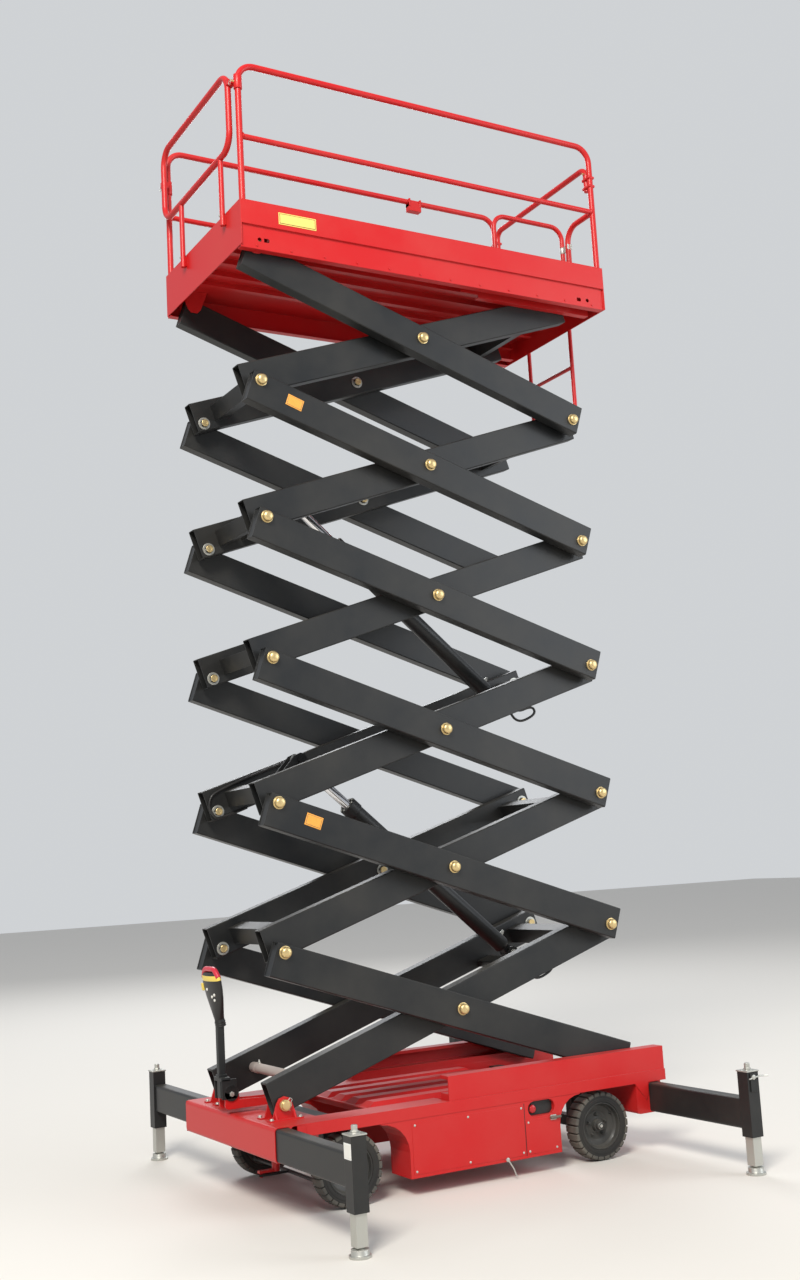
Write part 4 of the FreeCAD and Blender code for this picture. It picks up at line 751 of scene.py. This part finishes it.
# Cabinet fronts: two doors with the seam between them, screws, a latch and a round lamp in a recess, its back a
# black sheet that paints the recess's shade
skin_y = -chassis_half + 0.002
cabinet_left, cabinet_right = front_wheel_x + 0.348, rear_wheel_x - 0.321
seam_x = 0.3055 - shift
recess_floor = skin_y + 0.0240
lamp_spot = (cabinet_right - 0.178, recess_floor, 0.360)
parts = [slab("door", (cabinet_left + 0.018, skin_y - 0.0019, 0.118), (seam_x - 0.003, skin_y + 0.004, 0.392),
              0.0012, 2, "red_paint"),
         slab("side_door", (seam_x + 0.003, skin_y - 0.0019, 0.118),
              (cabinet_right - 0.016, skin_y + 0.004, 0.306), 0.0012, 2, "red_paint"),
         slab("seam", (seam_x - 0.0022, skin_y - 0.0004, 0.112), (seam_x + 0.0022, skin_y + 0.004, 0.400),
              0.0004, 1, "black_plastic"),
         turned("latch", [(0.0060, 0.0), (0.0085, 0.002), (0.0085, 0.050), (0.0070, 0.052), (0.0070, 0.058),
                          (0.0085, 0.060), (0.0085, 0.072), (0.0060, 0.074)],
                base=(cabinet_right - 0.072, skin_y - 0.0080, 0.300), along=along_x, sides=20,
                finish="brown_plastic"),
         slab("latch_plate", (cabinet_right - 0.066, skin_y - 0.0030, 0.286),
              (cabinet_right - 0.026, skin_y + 0.001, 0.314), 0.001, 2, "zinc"),
         # Painted shade: a black sheet at the back of the recess stands for the shade in the red-painted hollow
         slab("recess_shade_sheet", (cabinet_right - 0.214, recess_floor - 0.0005, 0.3235),
              (cabinet_right - 0.036, recess_floor + 0.0015, 0.4005), 0.0008, 1, "black_plastic"),
         turned("lamp_cup", [(0.0275, 0.0), (0.0275, 0.0080), (0.0260, 0.0095), (0.0245, 0.0095),
                             (0.0235, 0.0040), (0.0040, 0.0035)],
                base=lamp_spot, along=(0, -1, 0), sides=36, finish="black_plastic"),
         turned("lamp_lens", [(0.0233, 0.0040), (0.0232, 0.0090), (0.0205, 0.0150), (0.0130, 0.0185),
                              (0.0030, 0.0195)], base=lamp_spot, along=(0, -1, 0), sides=36, finish="lens")]
for x in (cabinet_left + 0.036, 0.5 * (cabinet_left + seam_x), seam_x - 0.022, seam_x + 0.022,
          cabinet_right - 0.034):
    for z in (0.134, 0.376 if x < seam_x else 0.292):
        parts.append(turned("screw", [(0.0066, 0.0), (0.0066, 0.0010), (0.0050, 0.0026), (0.0020, 0.0032)],
                            base=(x, skin_y - 0.0018, z), along=(0, -1, 0), sides=14))
near_front = merged("cabinet_front_near", parts)
far_front = copied(near_front, mirror_y)
far_front.name = "cabinet_front_far"
for front in (near_front, far_front):
    fitted(front, "chassis", "red_paint")

# Drain lever under the near cabinet
lever_x = 0.172 - shift
lever = [bent_tube("lever", [(lever_x, skin_y - 0.0070, 0.112), (lever_x + 0.033, skin_y - 0.0085, 0.060),
                             (lever_x + 0.050, skin_y - 0.0070, 0.018)], 0.0045, sides=12, steps=3,
                   finish="zinc"),
         turned("lever_boss", [(0.012, 0.0), (0.012, 0.007), (0.0095, 0.009), (0.0040, 0.010)],
                base=(lever_x, skin_y, 0.112), along=(0, -1, 0), sides=20)]
fitted(merged("drain_lever", lever), "chassis", "zinc")

# Screws along the cover's edges and bolts on the base plates
bolts = []
cover_low, cover_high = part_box("deck_cover")
cover_screws = 7
for s in (-1, 1):
    for k in range(cover_screws):
        x = cover_low[0] + 0.06 + k * (cover_high[0] - cover_low[0] - 0.12) / (cover_screws - 1)
        bolts.append(turned("cover_screw", [(0.0090, 0.0), (0.0090, 0.0015), (0.0066, 0.0040), (0.0025, 0.0048)],
                            base=(x, s * 0.419, chassis_top - 0.013), sides=14))
    for x in (left_pin - 0.084, left_pin + 0.084):
        for y in (0.300, 0.452):
            bolts.append(turned("plate_bolt", [(0.0130, 0.0), (0.0130, 0.0022), (0.0100, 0.0024),
                                               (0.0100, 0.0085), (0.0088, 0.0098), (0.0040, 0.0098)],
                                base=(x, s * y, chassis_top + 0.007), sides=6))
fitted(merged("deck_bolts", bolts), "chassis", "zinc")

# Drawbar: the cap of its shaft, and the head and nut of the tiller's pin
shaft_x = -0.96809 - shift
fork_y = 0.055
bar_bits = [turned("shaft_cap", [(0.0330, 0.0), (0.0330, 0.004), (0.0240, 0.006), (0.0235, 0.013),
                                 (0.0205, 0.016), (0.0060, 0.0165)],
                   base=(shaft_x, 0, chassis_top + 0.064), sides=28, finish="red_paint"),
            turned("tiller_pin", [(0.0150, 0.0), (0.0150, 0.0060), (0.0135, 0.0080), (0.0040, 0.0085)],
                   base=(tiller_x, -fork_y - 0.0002, tiller_z), along=(0, -1, 0), sides=6),
            turned("tiller_nut", [(0.0160, 0.0), (0.0160, 0.0080), (0.0145, 0.0095), (0.0085, 0.0095),
                                  (0.0080, 0.0150), (0.0040, 0.0160)],
                   base=(tiller_x, fork_y + 0.0002, tiller_z), along=along_y, sides=6)]
fitted(merged("drawbar_bits", bar_bits), "steering", "red_paint")

# Tiller: a black fork over the drawbar's ears, an upright pole, and a head that widens up to its red bow
pole_x, pole_top = -1.275 - shift, 0.985
pole = [slab("fork_bridge", (-1.318, -fork_y, 0.652), (-1.262, fork_y, 0.674), 0.004),
        slab("fork_block", (-1.312, -0.026, 0.560), (-1.236, 0.026, 0.656), 0.005),
        slab("pole", (pole_x - 0.020, -0.019, 0.664), (pole_x + 0.020, 0.019, pole_top + 0.007), 0.005, 3),
        slab("pole_foot", (pole_x - 0.025, -0.025, 0.672), (pole_x + 0.025, 0.025, 0.688))]
for s in (-1, 1):
    low, high = sorted((s * 0.047, s * fork_y))
    pole.append(slab("fork_side", (-1.316, low, 0.556), (-1.226, high, 0.664), 0.0025))
    pole.append(turned("fork_round", [(0.0420, 0.047), (0.0430, 0.048), (0.0430, 0.054), (0.0420, fork_y)],
                       base=(tiller_x, 0, tiller_z + 0.004), along=(0, s, 0), sides=36, finish="black_paint"))
fitted(merged("tiller_pole_dressed", pole), "tiller", "black_paint", "tiller_pole")

head = [lofted("housing", [(-0.004, 0.0240, 0.0240), (0.0, 0.0270, 0.0270), (0.030, 0.0290, 0.0420),
                           (0.080, 0.0300, 0.0740), (0.130, 0.0305, 0.1000), (0.180, 0.0300, 0.1150),
                           (0.215, 0.0290, 0.1190), (0.245, 0.0265, 0.1140), (0.260, 0.0210, 0.1060),
                           (0.266, 0.0130, 0.0960)], "black_plastic"),
        lofted("band", [(0.222, 0.0292, 0.1180), (0.224, 0.0302, 0.1200), (0.248, 0.0272, 0.1150),
                        (0.250, 0.0262, 0.1125)], "yellow_plastic"),
        bent_tube("bow", [(0.0, -0.1060, 0.236), (0.0, -0.0720, 0.283), (0.0, 0.0720, 0.283),
                          (0.0, 0.1060, 0.236)], 0.0150, 0.055, sides=20, steps=7, finish="red_plastic"),
        slab("switch", (-0.0275, 0.086, 0.164), (-0.0120, 0.110, 0.206), 0.0040, 3, "yellow_plastic"),
        turned("gaiter", [(0.0285, -0.040), (0.0310, -0.038), (0.0290, -0.032), (0.0310, -0.026),
                          (0.0290, -0.020), (0.0310, -0.014), (0.0290, -0.008), (0.0270, 0.002)],
               sides=24, finish="black_plastic")]
for spot in ((-0.0280, -0.034, 0.136), (-0.0238, -0.052, 0.116), (-0.0242, -0.062, 0.146),
             (-0.0292, 0.016, 0.176)):
    head.append(turned("button", [(0.0080, 0.0), (0.0080, 0.0045), (0.0066, 0.0062), (0.0020, 0.0068)],
                       base=spot, along=(-1, 0, 0.05), sides=18, finish="pale_plastic"))
control = merged("tiller_dressed", head)
control.data.transform(Matrix.Translation((pole_x, 0, pole_top)) @ Matrix.Rotation(-tiller_lean, 4, "Y"))
fitted(control, "tiller", "black_plastic", "tiller_head")

# Floor, lights and the backdrop
bpy.ops.object.select_all(action="DESELECT")
bpy.ops.mesh.primitive_plane_add(size=90.0)
floor = bpy.context.object
floor.name = "floor"
ground = bpy.data.materials.new("pale_ground")
ground.use_nodes = True
ground_shader = ground.node_tree.nodes["Principled BSDF"]
ground_shader.inputs["Base Color"].default_value = (0.70, 0.67, 0.62, 1.0)
ground_shader.inputs["Roughness"].default_value = 0.85
floor.data.materials.append(ground)

world = bpy.data.worlds.new("studio")
scene.world = world
world.use_nodes = True
sky = world.node_tree
light = sky.nodes["Background"]
light.inputs["Color"].default_value = (0.86, 0.90, 0.96, 1.0)
light.inputs["Strength"].default_value = 0.62
backdrop = add_node(sky, "Background", {"Color": (0.66, 0.68, 0.70, 1.0), "Strength": 0.95}, {})
path = add_node(sky, "LightPath", {}, {})
choice = add_node(sky, "MixShader", {}, {"Fac": path.outputs["Is Camera Ray"], 1: light.outputs["Background"],
                                         2: backdrop.outputs["Background"]})
sky.links.new(choice.outputs["Shader"], sky.nodes["World Output"].inputs["Surface"])


def area_light(name, place, size, power, colour):
    lamp = bpy.data.lights.new(name, "AREA")
    lamp.shape = "SQUARE"
    lamp.size = size
    lamp.energy = power
    lamp.color = colour
    holder = bpy.data.objects.new(name, lamp)
    scene.collection.objects.link(holder)
    holder.location = place
    aim = Vector((0.0, 0.0, 3.0))
    holder.rotation_euler = (aim - Vector(place)).to_track_quat("-Z", "Y").to_euler()


area_light("key", (-9.0, -10.0, 13.0), 5.0, 2900.0, (1.0, 0.965, 0.90))
area_light("fill", (10.0, -9.0, 6.0), 8.0, 700.0, (0.90, 0.95, 1.0))
area_light("back", (4.0, 12.0, 11.0), 7.0, 900.0, (0.95, 0.97, 1.0))

# The camera at the photograph's angle
camera_spot = Vector((-4.4354, -7.690, 1.806))
forward = Vector((0.49455, 0.85562, 0.15277))
upward = Vector((-0.02812, -0.15993, 0.98673))
sideways = Vector((0.8687, -0.4923, -0.0550))
look = (forward - 0.00025 * sideways - 0.00098 * upward).normalized()
side = look.cross(upward).normalized()
camera_data = bpy.data.cameras.new("camera")
camera_data.lens = 40.3
camera_data.sensor_width = 36.0
camera_data.clip_end = 200.0
camera = bpy.data.objects.new("camera", camera_data)
scene.collection.objects.link(camera)
camera_turn = Matrix((side, side.cross(look), -look)).transposed().to_4x4()
camera.matrix_world = Matrix.Translation(camera_spot) @ camera_turn
scene.camera = camera
scene.view_settings.view_transform = "Standard"
